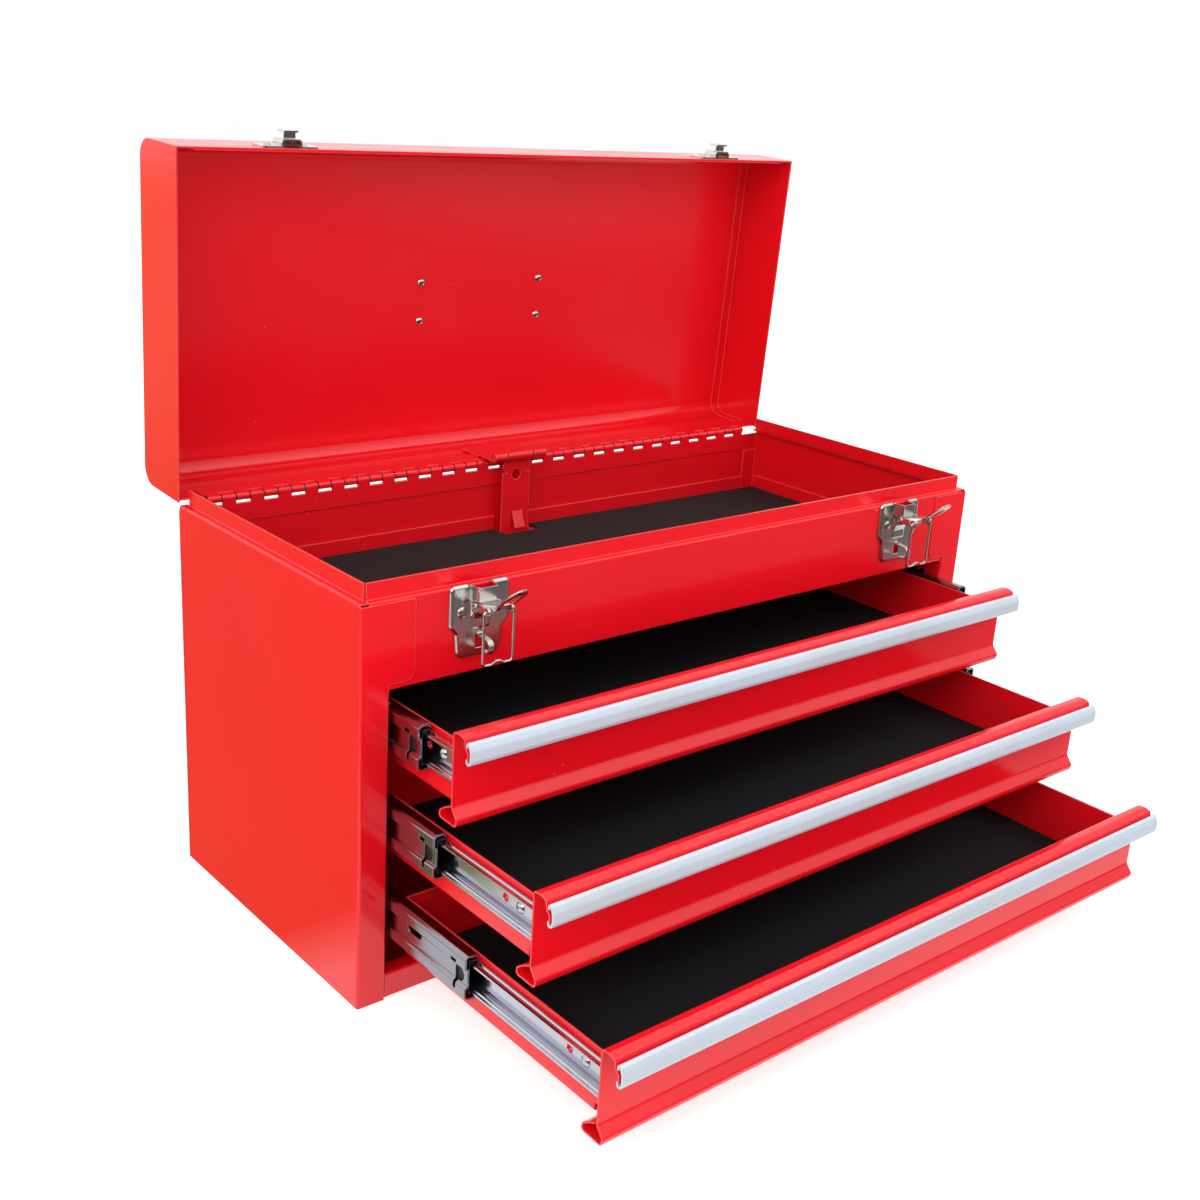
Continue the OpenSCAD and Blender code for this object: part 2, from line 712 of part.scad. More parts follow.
// An end of the lid with its welding flange.
module lid_end() {
    flange = 9;
    difference() {
        union() {
            along_x(-half_w, -half_w + sheet) lid_outline(0);
            along_x(-half_w + sheet / 2, -half_w + flange) difference() {
                lid_outline(sheet);
                lid_outline(2 * sheet);
            }
        }
        block([-half_w - 1, front_y - 1, body_h - 1], [0, half_d + 1, lid_low]);
        block([-half_w + sheet, front_y, body_h - 1], [0, lid_front + 4 * sheet, lid_low + lid_hem + 2]);
        block([-half_w + sheet, half_d - lid_r, body_h - 1], [0, half_d + 1, hinge_z + leaf_h + gap]);
    }
}

module lid_end_left() {
    color(RED) on_lid() lid_end();
}

module lid_end_right() {
    color(RED) on_lid() mirror([1, 0, 0]) lid_end();
}

// ---- latches, drawn about their own middle: x across, y = 0 on the sheet, z = 0 at the ledge ----
pin_f = 9;              // latch pin in front of the sheet
pin_z = -10.5;          // latch pin below the plate's top
latch_pin_d = 2.4;
cheek = channel_w / 2 + 0.2;
eye_s = 11.2;           // bail's eye along the lever
eye_n = -4.4;           // bail's eye below the lever
rivet_x = 12.6;
rivet_z = -14;
pin_end = cheek + latch_t + 0.7;

module at_latch(side) {
    translate([side * latch_x, latch_y, latch_z]) children();
}

module latch_plate() {
    half = plate_w / 2;
    step = 4.2;
    low = plate_h;
    channel_low = -21;
    channel_top = -3;
    edge = [[half, 0], [half, -low * 0.56], [half - step, -low * 0.66],
        [half - step - 1.2, -low + round_r], [half - step - 3.6, -low]];
    outline = concat(edge, [for (i = [len(edge) - 1:-1:0]) [-edge[i][0], edge[i][1]]]);
    u = channel_w / 2;
    difference() {
        union() {
            along_y(-latch_t, 0) difference() {
                intersection() {
                    polygon(outline);
                    translate([0, -low]) plate_2d(plate_w, 2 * low, 4);
                }
                translate([-u + latch_t, channel_low]) square([channel_w - 2 * latch_t, -channel_low + 1]);
                translate([-2.8, hook_low]) square([5.6, 10]);
            }
            along_z(channel_low, channel_top) difference() {
                translate([-u, -channel_h]) square([channel_w, channel_h]);
                translate([-u + latch_t, -channel_h + latch_t]) square([channel_w - 2 * latch_t, channel_h]);
            }
            block([-u, -channel_h, channel_low], [u, 0, channel_low + latch_t]);
            for (s = [-1, 1]) ear(s);
        }
        rod_x(-half, half, -pin_f, pin_z, latch_pin_d + 2 * run);
        for (s = [-1, 1]) rod_y(s * rivet_x, -latch_t - 1, 1, rivet_z, 3.4);
    }
    staple();
}

// An ear that carries the lever's pin.
module ear(s) {
    x0 = s > 0 ? channel_w / 2 - latch_t : -channel_w / 2;
    along_x(x0, x0 + latch_t) union() {
        translate([-pin_f, pin_z]) circle(3, $fn = 40);
        translate([-pin_f, pin_z - 3]) square([pin_f, 6]);
    }
}

hook_low = -38;

// The staple: a tongue cut from the plate and curled out through the lever's slot.
module staple() {
    w = 5;
    top = hook_low + 10;
    line = [[-latch_t / 2, top + 1], [-latch_t / 2, top - 0.6], [-pin_f - 5.4, top - 1.8],
        [-pin_f - 5.4, hook_low + 1.4], [-pin_f + 1, hook_low + 1.2]];
    along_x(-w / 2, w / 2) polygon(strip(line, latch_t, [0.7, 3, 2.4], 5));
}

module latch_plate_left() {
    color(NICKEL) at_latch(-1) latch_plate();
}

module latch_plate_right() {
    color(NICKEL) at_latch(1) latch_plate();
}

module latch_rivets() {
    color(NICKEL) for (side = [-1, 1]) at_latch(side) {
        for (s = [-1, 1]) rivet_front(s * rivet_x, -latch_t, rivet_z, 6.6, latch_t - 0.1);
        rod_x(-pin_end, pin_end, -pin_f, pin_z, latch_pin_d);
        for (s = [-1, 1]) rod_x(s * (pin_end - 0.3) - 0.3, s * (pin_end - 0.3) + 0.3, -pin_f, pin_z, 3.8);
    }
}

// Lever, drawn pointing forward from its pin at the origin: -y along it, z above it.
module latch_lever() {
    leaf_w = 2 * (cheek + latch_t);
    slot = [15.4, 28.6];
    bend_s = 15;
    rise = 0.22;
    tip = lever_l;
    t = latch_t;
    difference() {
        union() {
            intersection() {
                along_x(-leaf_w / 2, leaf_w / 2) polygon(strip([[-3.7, t / 2], [-bend_s, t / 2],
                    [-tip - 1, t / 2 + (tip + 1 - bend_s) * rise]], t, [6], 4));
                along_z(-2, 20) lever_outline(leaf_w, tip);
            }
            for (s = [-1, 1]) along_x(s > 0 ? cheek : -cheek - t, s > 0 ? cheek + t : -cheek) union() {
                circle(2.9, $fn = 40);
                polygon([[-1.8, 2.2], [1.6, -2.4], [-eye_s + 1.4, eye_n - 2.1], [-eye_s - 2, eye_n + 0.6],
                    [-eye_s - 2.4, t], [-3, t]]);
                translate([-eye_s, eye_n]) circle(2.2, $fn = 40);
            }
        }
        along_z(-2, 20) translate([0, -(slot[0] + slot[1]) / 2]) plate_2d(7, slot[1] - slot[0], 2);
        rod_x(-plate_w / 2, plate_w / 2, 0, 0, latch_pin_d + 2 * run);
        rod_x(-plate_w / 2, plate_w / 2, -eye_s, eye_n, bail_d + 2 * run);
    }
}

// The lever's leaf seen from above.
module lever_outline(w, tip) {
    half = w / 2;
    union() {
        translate([-half, -27]) square([w, 24]);
        intersection() {
            translate([-half, -tip - 1]) square([w, tip - 26 + 1]);
            translate([0, -27 + 2]) circle(r = tip - 27 + 2 + 0.6, $fn = 64);
            union() {
                translate([half * 0.42, -27 + 2]) circle(r = half * 1.32, $fn = 48);
                translate([-half * 0.42, -27 + 2]) circle(r = half * 1.32, $fn = 48);
            }
        }
    }
}

module place_lever(side) {
    at_latch(side) translate([0, -pin_f, pin_z]) rotate([-lever_up, 0, 0]) children();
}

module latch_lever_left() {
    color(NICKEL) place_lever(-1) latch_lever();
}

module latch_lever_right() {
    color(NICKEL) place_lever(1) latch_lever();
}

// Wire bail, drawn hanging from its eye at the origin.
module latch_bail() {
    half = pin_end + gap + bail_d / 2;
    r = 3;
    kink = 1.6;
    knot_d = bail_d + 0.06;
    for (s = [-1, 1]) {
        rod_x(s > 0 ? cheek - 0.2 : -half, s > 0 ? half : -cheek + 0.2, 0, 0, bail_d);
        translate([s * half, 0, 0]) sphere(d = knot_d, $fn = 32);
        translate([s * half, 0, -bail_l + r]) cylinder(h = bail_l - r, d = bail_d, $fn = 32);
        translate([s * (half - r), 0, -bail_l + r]) rotate([90, s > 0 ? 0 : 90, 0])
            rotate([0, 0, -90]) rotate_extrude(angle = 90, $fn = 48)
            translate([r, 0]) circle(d = bail_d, $fn = 24);
    }
    wave = [[-half + r, 0], [-half * 0.45, 0], [-half * 0.15, kink], [half * 0.15, kink], [half * 0.45, 0],
        [half - r, 0]];
    for (k = [0:4]) wire_link(wave[k], wave[k + 1], -bail_l);
    for (k = [1:4]) translate([wave[k][0], 0, wave[k][1] - bail_l]) sphere(d = knot_d, $fn = 32);
}

// A straight bit of wire between two points in XZ, at a height z.
module wire_link(a, b, z) {
    d = b - a;
    translate([a[0], 0, a[1] + z]) rotate([0, 90 - atan2(d[1], d[0]), 0])
        cylinder(h = norm(d), d = bail_d, $fn = 32);
}

module place_bail(side) {
    eye = turn([-eye_s, eye_n], -lever_up);
    at_latch(side) translate([0, -pin_f + eye[0], pin_z + eye[1]]) children();
}

module latch_bail_left() {
    color(NICKEL) place_bail(-1) latch_bail();
}

module latch_bail_right() {
    color(NICKEL) place_bail(1) latch_bail();
}

// Strike on the lid's front, drawn closed: an arched channel that carries a hook for the bail.
strike_low = 1.6;
strike_h = 17;
hook_seat = 6.2;       // top of the hook's neck, which the bail pulls down on
hook_f = 10.5;         // the hook's outer face in front of the lid

module strike() {
    u = channel_w / 2;
    t = latch_t;
    arch_h = 12;
    neck_w = 8;
    tongue_w = 10;
    tongue_z = [strike_low + 0.4, hook_seat + 6];
    difference() {
        union() {
            along_y(-t, 0) translate([0, strike_low + strike_h / 2]) plate_2d(plate_w, strike_h, round_r);
            along_z(strike_low, strike_low + arch_h) difference() {
                arch_2d(u, channel_h);
                arch_2d(u - t, channel_h - t);
            }
            block([-u + t / 2, -channel_h + t, strike_low + arch_h - t], [u - t / 2, 0, strike_low + arch_h]);
            block([-neck_w / 2, -hook_f + t / 2, hook_seat - t], [neck_w / 2, -channel_h + t / 2, hook_seat]);
            along_y(-hook_f, -hook_f + t) translate([0, (tongue_z[0] + tongue_z[1]) / 2])
                plate_2d(tongue_w, tongue_z[1] - tongue_z[0], 1.5);
        }
        along_z(strike_low - 1, strike_low + arch_h - t) intersection() {
            arch_2d(u - t, channel_h - t);
            translate([-u, -channel_h]) square([2 * u, channel_h + 1]);
        }
        for (s = [-1, 1]) rod_y(s * rivet_x, -t - 1, 1, strike_low + strike_h / 2, 3.4);
    }
}

// An arch of half-width u and height h in front of the sheet, with round shoulders.
module arch_2d(u, h) {
    r = h * 0.45;
    union() {
        translate([-u, -h + r]) square([2 * u, h - r + 0.01]);
        translate([-u + r, -h]) square([2 * (u - r), h]);
        for (s = [-1, 1]) translate([s * (u - r), -h + r]) circle(r, $fn = 32);
    }
}

module at_strike(side) {
    on_lid() translate([side * latch_x, lid_front, body_h]) children();
}

module strike_left() {
    color(NICKEL) at_strike(-1) strike();
}

module strike_right() {
    color(NICKEL) at_strike(1) strike();
}

module strike_rivets() {
    color(NICKEL) for (side = [-1, 1]) for (s = [-1, 1])
        at_strike(side) rivet_front(s * rivet_x, -latch_t, strike_low + strike_h / 2, 5.6, latch_t - 0.1);
}

// ---- handle, drawn with the lid closed, folded towards the rear ----
axle_z = lid_top + 7.5;
handle_y = (lid_front + half_d) / 2;
bracket_w = 12;
rivet_pitch = 27.6;
bracket_t = 1.5;

module handle_brackets() {
    foot = rivet_pitch / 2 + 7;
    ring = rod_d / 2 + 1.8;
    color(STEEL) on_lid() both_sides() difference() {
        along_x(handle_span / 2 - bracket_w / 2, handle_span / 2 + bracket_w / 2) difference() {
            union() {
                translate([handle_y - foot, lid_top]) square([2 * foot, bracket_t]);
                translate([handle_y, axle_z]) circle(ring, $fn = 48);
                polygon([[handle_y - ring - 2, lid_top + bracket_t], [handle_y - ring, axle_z],
                    [handle_y + ring, axle_z], [handle_y + ring + 2, lid_top + bracket_t]]);
            }
            translate([handle_y, axle_z]) circle(rod_d / 2 + run, $fn = 48);
        }
        for (s = [-1, 1]) translate([handle_span / 2, handle_y + s * rivet_pitch / 2, lid_top - 1])
            cylinder(h = 4, d = 4.4, $fn = 32);
    }
}

// Rivets through the lid: a head outside and a ring-shaped end inside.
module handle_rivets() {
    color(STEEL) on_lid() both_sides() for (s = [-1, 1])
        translate([handle_span / 2, handle_y + s * rivet_pitch / 2, lid_top]) {
            translate([0, 0, bracket_t]) dome(7);
            translate([0, 0, 0]) cylinder(h = bracket_t, d = 4.2, $fn = 32);
            translate([0, 0, -sheet]) mirror([0, 0, 1]) difference() {
                dome(6.4);
                translate([0, 0, 0.8]) cylinder(h = 3, d = 2.6, $fn = 24);
            }
        }
}

rod_bend = rod_d;
arm_x = handle_span / 2 + bracket_w / 2 + rod_bend + 0.5;
grip_l = 2 * (arm_x - rod_bend) - 4;
finger_r = 18;         // finger grooves along the grip's inner edge
finger_d = 1.8;

// The rod's ends are bent inwards, through the brackets.
module carry_handle() {
    end = handle_span / 2 - bracket_w / 2 - 2;
    color(STEEL) on_lid() translate([0, handle_y, axle_z]) both_sides() {
        rod_x(end, arm_x - rod_bend, 0, 0, rod_d);
        rod_y(arm_x, rod_bend, handle_reach - rod_bend, 0, rod_d);
        for (far = [0, 1]) translate([arm_x - rod_bend, far ? handle_reach - rod_bend : rod_bend, 0])
            mirror([0, 1 - far, 0]) rotate_extrude(angle = 90, $fn = 64)
            translate([rod_bend, 0]) circle(d = rod_d, $fn = 32);
        rod_x(-0.1, arm_x - rod_bend, handle_reach, 0, rod_d);
    }
}

module handle_grip() {
    color(PLASTIC) on_lid() translate([0, handle_y + handle_reach, axle_z]) difference() {
        along_x(-grip_l / 2, grip_l / 2) union() {
            square([grip_b - grip_t, grip_t], center = true);
            for (s = [-1, 1]) translate([s * (grip_b - grip_t) / 2, 0]) circle(d = grip_t, $fn = 48);
        }
        rod_x(-grip_l, grip_l, 0, 0, rod_d + 0.02);
        for (k = [-1.5:1:1.5]) translate([k * grip_l / 4.4, finger_d - grip_b / 2 - finger_r, -grip_t])
            cylinder(h = 2 * grip_t, r = finger_r, $fn = 64);
    }
}

// ---- lock bar ----
// The bracket on the lid's rear wall, drawn with the lid closed, carries the bar's knuckle.
bar_closed = turn([bar_y - hinge_y, bar_z - hinge_z], lid_open);
bar_arm = bar_knuckle_d / 2 - wall_c;

bracket_half = 23;

module lock_bracket() {
    half = bracket_half;
    mid = bar_w / 2 - 2 + 1.6;
    ky = hinge_y + bar_closed[0];
    kz = hinge_z + bar_closed[1];
    plate_y = hinge_y - knuckle_d / 2 - wall_c;
    line = [[ky + bar_arm, kz], [ky + bar_arm, hinge_z + knuckle_d], [plate_y, hinge_z + knuckle_d + 2.4],
        [plate_y, hinge_z + leaf_h + 12]];
    color(RED) on_lid() difference() {
        union() {
            along_x(-half, half) polygon(strip(line, sheet, same(1, line)));
            rod_x(-half, half, ky, kz, bar_knuckle_d);
        }
        block([-mid, ky - bar_knuckle_d, kz - bar_knuckle_d],
            [mid, ky + bar_knuckle_d, kz + bar_knuckle_d / 2 + 1]);
        rod_x(-half - 1, half + 1, ky, kz, bar_pin_d + 2 * run);
    }
}

module lock_bracket_pin() {
    color(STEEL) on_lid()
        rod_x(-bracket_half, bracket_half, hinge_y + bar_closed[0], hinge_z + bar_closed[1], bar_pin_d);
}

// The bar hangs from the bracket. Its shoulders stop the lid, and its hooks hold the drawers.
module lock_bar() {
    ky = bar_y;
    kz = bar_z;
    mid = bar_w / 2 - 2;
    y = ky + bar_arm;
    low = lip_top[2] - side_drop + 1.4;
    shoulder = floor_z - gap;
    lower_w = bar_w - 5;
    color(RED) {
        difference() {
            union() {
                rod_x(-mid, mid, ky, kz, bar_knuckle_d);
                block([-mid, y - wall_c, kz - bar_knuckle_d / 2 - 2], [mid, y + wall_c, kz]);
            }
            rod_x(-bar_w, bar_w, ky, kz, bar_pin_d + 2 * run);
        }
        along_y(y - wall_c, y + wall_c) difference() {
            union() {
                translate([-bar_w / 2, shoulder - 6]) square([bar_w, kz - bar_knuckle_d / 2 - 4 - shoulder]);
                translate([-bar_w / 2 + 4, kz - bar_knuckle_d / 2 - 12]) square([bar_w - 8, 10.8]);
                for (s = [-1, 1]) translate([s * (bar_w / 2 - 4), kz - bar_knuckle_d / 2 - 10 + 4.8])
                    circle(4, $fn = 40);
                translate([-bar_slot_w / 2 - 3, shoulder - 7]) square([bar_slot_w + 6, 7]);
                translate([-lower_w / 2, low]) square([lower_w, shoulder - low]);
            }
            translate([0, kz - 15]) circle(d = 8, $fn = 40);
            translate([tab_x[0] - 0.5, floor_z + 2 * sheet + tray_liner_t + 0.6])
                square([tab_x[1] - tab_x[0] + 1, 12]);
        }
        stop_tab(y);
        for (i = [0:2]) drawer_hook(y, lip_top[i] - side_drop + 1.4);
    }
}

// A tab cut from the bar and bent forward.
tab_x = [-2.6, 6.4];

module stop_tab(y) {
    z = floor_z + sheet + tray_liner_t + 1;
    line = [[y, z + 14], [y, z + 12], [y - 5, z]];
    along_x(tab_x[0], tab_x[1]) polygon(strip(line, sheet, [1]));
}

// A hook that drops behind a drawer's rear wall when the lid is shut.
module drawer_hook(y, z) {
    neck_w = 9;
    head_w = 30;
    head_h = 8;
    reach = 20;
    block([-neck_w / 2, y - wall_c - reach, z + head_h - sheet], [neck_w / 2, y, z + head_h]);
    block([-head_w / 2, y - wall_c - reach, z], [head_w / 2, y - wall_c - reach + sheet, z + head_h]);
}

side_panel_left();
side_panel_right();
rear_panel();
bottom_panel();
front_tray_panel();
tray_floor();
tray_liner();
hinge_leaf_body();
hinge_pin();
rear_uprights();
slide_outer_top();
slide_outer_middle();
slide_outer_bottom();
slide_rivets();
latch_plate_left();
latch_plate_right();
latch_rivets();
lid_shell();
lid_end_left();
lid_end_right();
hinge_leaf_lid();
strike_left();
strike_right();
strike_rivets();
handle_brackets();
handle_rivets();
lock_bracket();
lock_bracket_pin();
lock_bar();
carry_handle();
handle_grip();
latch_lever_left();
latch_lever_right();
latch_bail_left();
latch_bail_right();
drawer_body_top();
drawer_front_top();
drawer_trim_top();
drawer_liner_top();
slide_inner_top();
drawer_rivets_top();
slide_mid_top();
ball_cage_top();
drawer_body_middle();
drawer_front_middle();
drawer_trim_middle();
drawer_liner_middle();
slide_inner_middle();
drawer_rivets_middle();
slide_mid_middle();
ball_cage_middle();
drawer_body_bottom();
drawer_front_bottom();
drawer_trim_bottom();
drawer_liner_bottom();
slide_inner_bottom();
drawer_rivets_bottom();
slide_mid_bottom();
ball_cage_bottom();
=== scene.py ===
import math

import bmesh
import bpy
import numpy as np
from mathutils import Matrix, Vector


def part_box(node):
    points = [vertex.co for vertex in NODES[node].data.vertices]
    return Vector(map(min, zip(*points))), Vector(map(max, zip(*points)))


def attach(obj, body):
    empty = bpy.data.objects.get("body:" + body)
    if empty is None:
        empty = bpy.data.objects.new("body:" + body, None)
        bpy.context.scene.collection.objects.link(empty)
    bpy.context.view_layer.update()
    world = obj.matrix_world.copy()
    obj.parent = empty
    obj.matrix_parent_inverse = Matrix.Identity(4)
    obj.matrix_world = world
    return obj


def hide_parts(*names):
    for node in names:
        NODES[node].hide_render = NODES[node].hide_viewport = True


bl_info = {
    "name": "Steel tool box dressing",
    "version": (1, 0, 0),
    "blender": (4, 5, 0),
    "location": "View3D > Sidebar > Tool box",
    "description": "Gives a packed steel tool box its paint, metals, liners and pressed fittings",
    "category": "Object",
}

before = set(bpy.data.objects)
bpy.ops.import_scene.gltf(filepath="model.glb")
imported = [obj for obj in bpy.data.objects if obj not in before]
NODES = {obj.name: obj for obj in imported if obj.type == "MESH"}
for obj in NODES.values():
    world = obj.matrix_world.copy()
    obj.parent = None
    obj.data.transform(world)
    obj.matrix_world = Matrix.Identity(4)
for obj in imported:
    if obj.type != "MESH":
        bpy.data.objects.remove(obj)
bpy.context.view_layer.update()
MM = 0.001
DRAWERS = ("top", "middle", "bottom")
SIDES = {"left": -1, "right": 1}
PAINTED = ("side_panel_left", "side_panel_right", "rear_panel", "bottom_panel", "front_tray_panel", "tray_floor",
           "hinge_leaf_body", "hinge_pin", "rear_uprights", "lid_shell", "lid_end_left", "lid_end_right",
           "hinge_leaf_lid", "lock_bracket", "lock_bar")

# Camera: its place in metres and its turns in degrees
CAMERA_AT = (-0.65307, -0.75553, 0.51847)
CAMERA_YAW, CAMERA_PITCH, CAMERA_ROLL = 40.93, 19.0, 3.69

# Hinge, in metres: where the first knuckle starts, the length of a knuckle, and the width of the painted shade line
# between two
KNUCKLE_FROM, KNUCKLE_PITCH, KNUCKLE_GAP = -0.2412, 0.01005, 0.0007

# Paint colours: a painted highlight along an edge, painted shade in the gap between knuckles, and the coat under a
# speck of dust
EDGE_HIGHLIGHT, KNUCKLE_SHADE, DUSTY_PAINT = (1.0, 0.30, 0.26), (0.09, 0.0, 0.001), (0.86, 0.42, 0.38)

# Drawer front, in millimetres: the strip's corners as (y, z) from the front plane, the lip's from the lip's top and
# the toe's from the front's foot, and the radius at each corner between the ends
SHEET = 1.0
FRONT_HEIGHT = 55.6
LIP = ((-12.6, -13), (-12.6, -8.7), (-10.2, -6.2), (-8.9, -1.5), (-5, -0.5), (0.5, -0.9))
TOE = ((0.5, 10.4), (-4.4, 4.4), (-2.9, 0.5), (11.9, 0.9), (11.2, 5), (6.6, 8.3), (1.9, 10.6))
FRONT_BENDS = (1, 1, 1.2, 6, 1.8, 4, 2, 1.4, 1.8, 2.2, 6)

# Trim, in millimetres: the strip's corners from the same place, their radii, its thickness, and its grooves' places
# along the strip, width and depth
TRIM = ((-11.95, -5.4), (-11.95, -2.9), (-13.6, -2.9), (-15.3, -7.0), (-15.3, -12.4), (-14.2, -14.6),
        (-11.9, -14.6), (-11.9, -12.0))
TRIM_BENDS = (0.7, 1.6, 4.5, 2.2, 1.3, 1.1)
TRIM_SHEET = 1.1
TRIM_GROOVES, GROOVE_WIDTH, GROOVE_DEPTH = (7.2, 8.6, 14.6), 0.22, 0.16

# Tray liner, in millimetres: the opening for the lock bar, from x to x and from y to the liner's rear edge
TRAY_SLOT_X, TRAY_SLOT_Y = (-15, 18), 91.9

# Latch, in millimetres and degrees: heights in the plate, its shift towards the box's middle, its rivets, the
# lever's pin and opening angle, the bail's eyes from the pin, the staple, and the bail's wire
PLATE_TOP, PLATE_LOW = 0.8, -42.4
PLATE_IN = 0.7
RIVET_OUT, RIVET_Z = 12.4, -14.6
PIN_Y, PIN_Z = -9.0, -10.5
LEVER_UP = 26
EYE_OUT, EYE_Y, EYE_Z = 8.1, -11.2, -4.4
EYE_RADIUS, EYE_WIRE = 2.1, 0.75
STAPLE_TOP, STAPLE_HALF, STAPLE_SHEET = -29.4, 1.9, 1.2
WIRE_D = 1.8

# What the latches' pieces that are modelled here are made of
STEEL = {"slot": "nickel_steel", "finish_name": "nickel"}


# ---------------------------------------------------------------- settings
def colour(name, about, default):
    return bpy.props.FloatVectorProperty(name=name, description=about, subtype="COLOR", size=3, min=0, max=1,
                                         default=default)


def length(name, about, default):
    return bpy.props.FloatProperty(name=name, description=about, default=default, min=0, subtype="DISTANCE",
                                   unit="LENGTH", precision=5)


def share(name, about, default, high=1.0):
    return bpy.props.FloatProperty(name=name, description=about, default=default, min=0, max=high)


class PaintSettings(bpy.types.PropertyGroup):
    red: colour("Red", "Colour of the powder coat", (0.87, 0.0070, 0.0160))
    gloss: share("Roughness", "Roughness of the powder coat", 0.14)
    shine: share("Specular level", "Strength of the coat's plain reflection", 0.65)
    peel: length("Orange peel", "Height of the coat's fine ripple", 0.000007)
    # edge also sets the width of the painted highlight along the sheets' edges
    edge: length("Edge rounding", "Radius that the coat gives to the sheets' edges", 0.0008)
    dust: share("Dust", "How strongly pale specks show on the coat", 0.3)


class MetalSettings(bpy.types.PropertyGroup):
    zinc: colour("Zinc", "Colour of the slides and the handle", (0.66, 0.67, 0.76))
    nickel: colour("Nickel", "Colour of the latches", (0.72, 0.70, 0.68))
    aluminium: colour("Aluminium", "Colour of the drawer trims", (0.66, 0.76, 0.89))


class LinerSettings(bpy.types.PropertyGroup):
    tray: colour("Tray liner", "Colour of the foam in the top tray", (0.015, 0.017, 0.019))
    drawer: colour("Drawer liner", "Colour of the drawers' liners", (0.0080, 0.0092, 0.0122))


class StageSettings(bpy.types.PropertyGroup):
    lens: bpy.props.FloatProperty(name="Focal length", description="Focal length of the camera in millimetres",
                                  default=44.97, min=10)
    key: bpy.props.FloatProperty(name="Key", description="Power of the large lamp at the left", default=19.0, min=0,
                                 unit="POWER")
    fill: bpy.props.FloatProperty(name="Fill", description="Power of the lamp at the front right", default=12.0,
                                  min=0, unit="POWER")
    sky: share("Sky", "Strength of the even light from all round", 0.95, 2.0)


def settings():
    return bpy.context.scene.toolbox


class ToolboxSettings(bpy.types.PropertyGroup):
    paint: bpy.props.PointerProperty(type=PaintSettings, name="Paint", description="The painted sheets")
    metal: bpy.props.PointerProperty(type=MetalSettings, name="Metals", description="Bare metal pieces")
    liner: bpy.props.PointerProperty(type=LinerSettings, name="Liners", description="Foam liners")
    stage: bpy.props.PointerProperty(type=StageSettings, name="Stage", description="Camera, floor and lamps")


# ---------------------------------------------------------------- shader node groups
def node(tree, kind, x=0, **values):
    """Adds a node. Keys with a leading underscore are properties, and the others are sockets by name."""
    made = tree.nodes.new(kind)
    made.location = (x, -120 * len(tree.nodes))
    for key, value in values.items():
        if key.startswith("_"):
            setattr(made, key[1:], value)
        else:
            made.inputs[key.replace("__", " ")].default_value = value
    return made


def math_node(tree, operation, a, b=0.5, clamp=False):
    made = tree.nodes.new("ShaderNodeMath")
    made.operation, made.use_clamp = operation, clamp
    for socket, value in zip(made.inputs, (a, b)):
        if isinstance(value, (int, float)):
            socket.default_value = value
        else:
            tree.links.new(value, socket)
    return made.outputs[0]


def ramp(tree, value, low, high, out_low=0.0, out_high=1.0):
    """Maps value from low..high to out_low..out_high, clamped."""
    made = node(tree, "ShaderNodeMapRange", _clamp=True)
    tree.links.new(value, made.inputs[0])
    for socket, number in zip(made.inputs[1:5], (low, high, out_low, out_high)):
        socket.default_value = number
    return made.outputs[0]


def group(name, inputs, outputs, build):
    """A shader node group: inputs and outputs are (name, socket type, default)."""
    tree = bpy.data.node_groups.new(name, "ShaderNodeTree")
    for label, kind, default in inputs:
        socket = tree.interface.new_socket(name=label, in_out="INPUT", socket_type=kind)
        if default is not None:
            socket.default_value = default
    for label, kind in outputs:
        tree.interface.new_socket(name=label, in_out="OUTPUT", socket_type=kind)
    entry, leave = tree.nodes.new("NodeGroupInput"), tree.nodes.new("NodeGroupOutput")
    for label, value in build(tree, entry.outputs).items():
        tree.links.new(value, leave.inputs[label])
    return tree


def noise(tree, vector, scale, detail=2.0, rough=0.5):
    made = node(tree, "ShaderNodeTexNoise", Scale=scale, Detail=detail, Roughness=rough)
    tree.links.new(vector, made.inputs["Vector"])
    return made.outputs["Fac"]


def stretched(tree, vector, factors):
    made = node(tree, "ShaderNodeMapping", _vector_type="TEXTURE", Scale=factors)
    tree.links.new(vector, made.inputs["Vector"])
    return made.outputs["Vector"]


FLOAT, VECTOR = "NodeSocketFloat", "NodeSocketVector"


def build_peel(tree, given):
    """Ripple of a baked powder coat: a soft noise of about 2 mm and a finer one of half a millimetre."""
    soft = noise(tree, given["Vector"], 420, 1.0)
    fine = noise(tree, given["Vector"], 1800, 1.0)
    return {"Height": math_node(tree, "ADD", soft, math_node(tree, "MULTIPLY", fine, 0.25))}


def build_handling(tree, given):
    """Smudges of hands, broad and soft, with short scuffs in them, as a mask from 0 to 1."""
    broad = ramp(tree, noise(tree, given["Vector"], 14, 3.0, 0.6), 0.48, 0.70)
    scuffs = ramp(tree, noise(tree, stretched(tree, given["Vector"], (1, 1, 0.06)), 90, 3.0, 0.7), 0.60, 0.72)
    return {"Mask": math_node(tree, "MAXIMUM", math_node(tree, "MULTIPLY", broad, 0.6),
                              math_node(tree, "MULTIPLY", scuffs, broad))}


def build_specks(tree, given):
    """Dust: small dots at the cells of a Voronoi pattern, kept only where a noise is high."""
    cells = node(tree, "ShaderNodeTexVoronoi", Scale=160.0, Randomness=1.0)
    tree.links.new(given["Vector"], cells.inputs["Vector"])
    dots = ramp(tree, cells.outputs["Distance"], 0.06, 0.10, 1.0, 0.0)
    pick = node(tree, "ShaderNodeSeparateColor")
    tree.links.new(cells.outputs["Color"], pick.inputs[0])
    few = math_node(tree, "GREATER_THAN", pick.outputs[0], 0.955)
    return {"Mask": math_node(tree, "MULTIPLY", dots, math_node(tree, "MULTIPLY", few, given["Amount"]))}


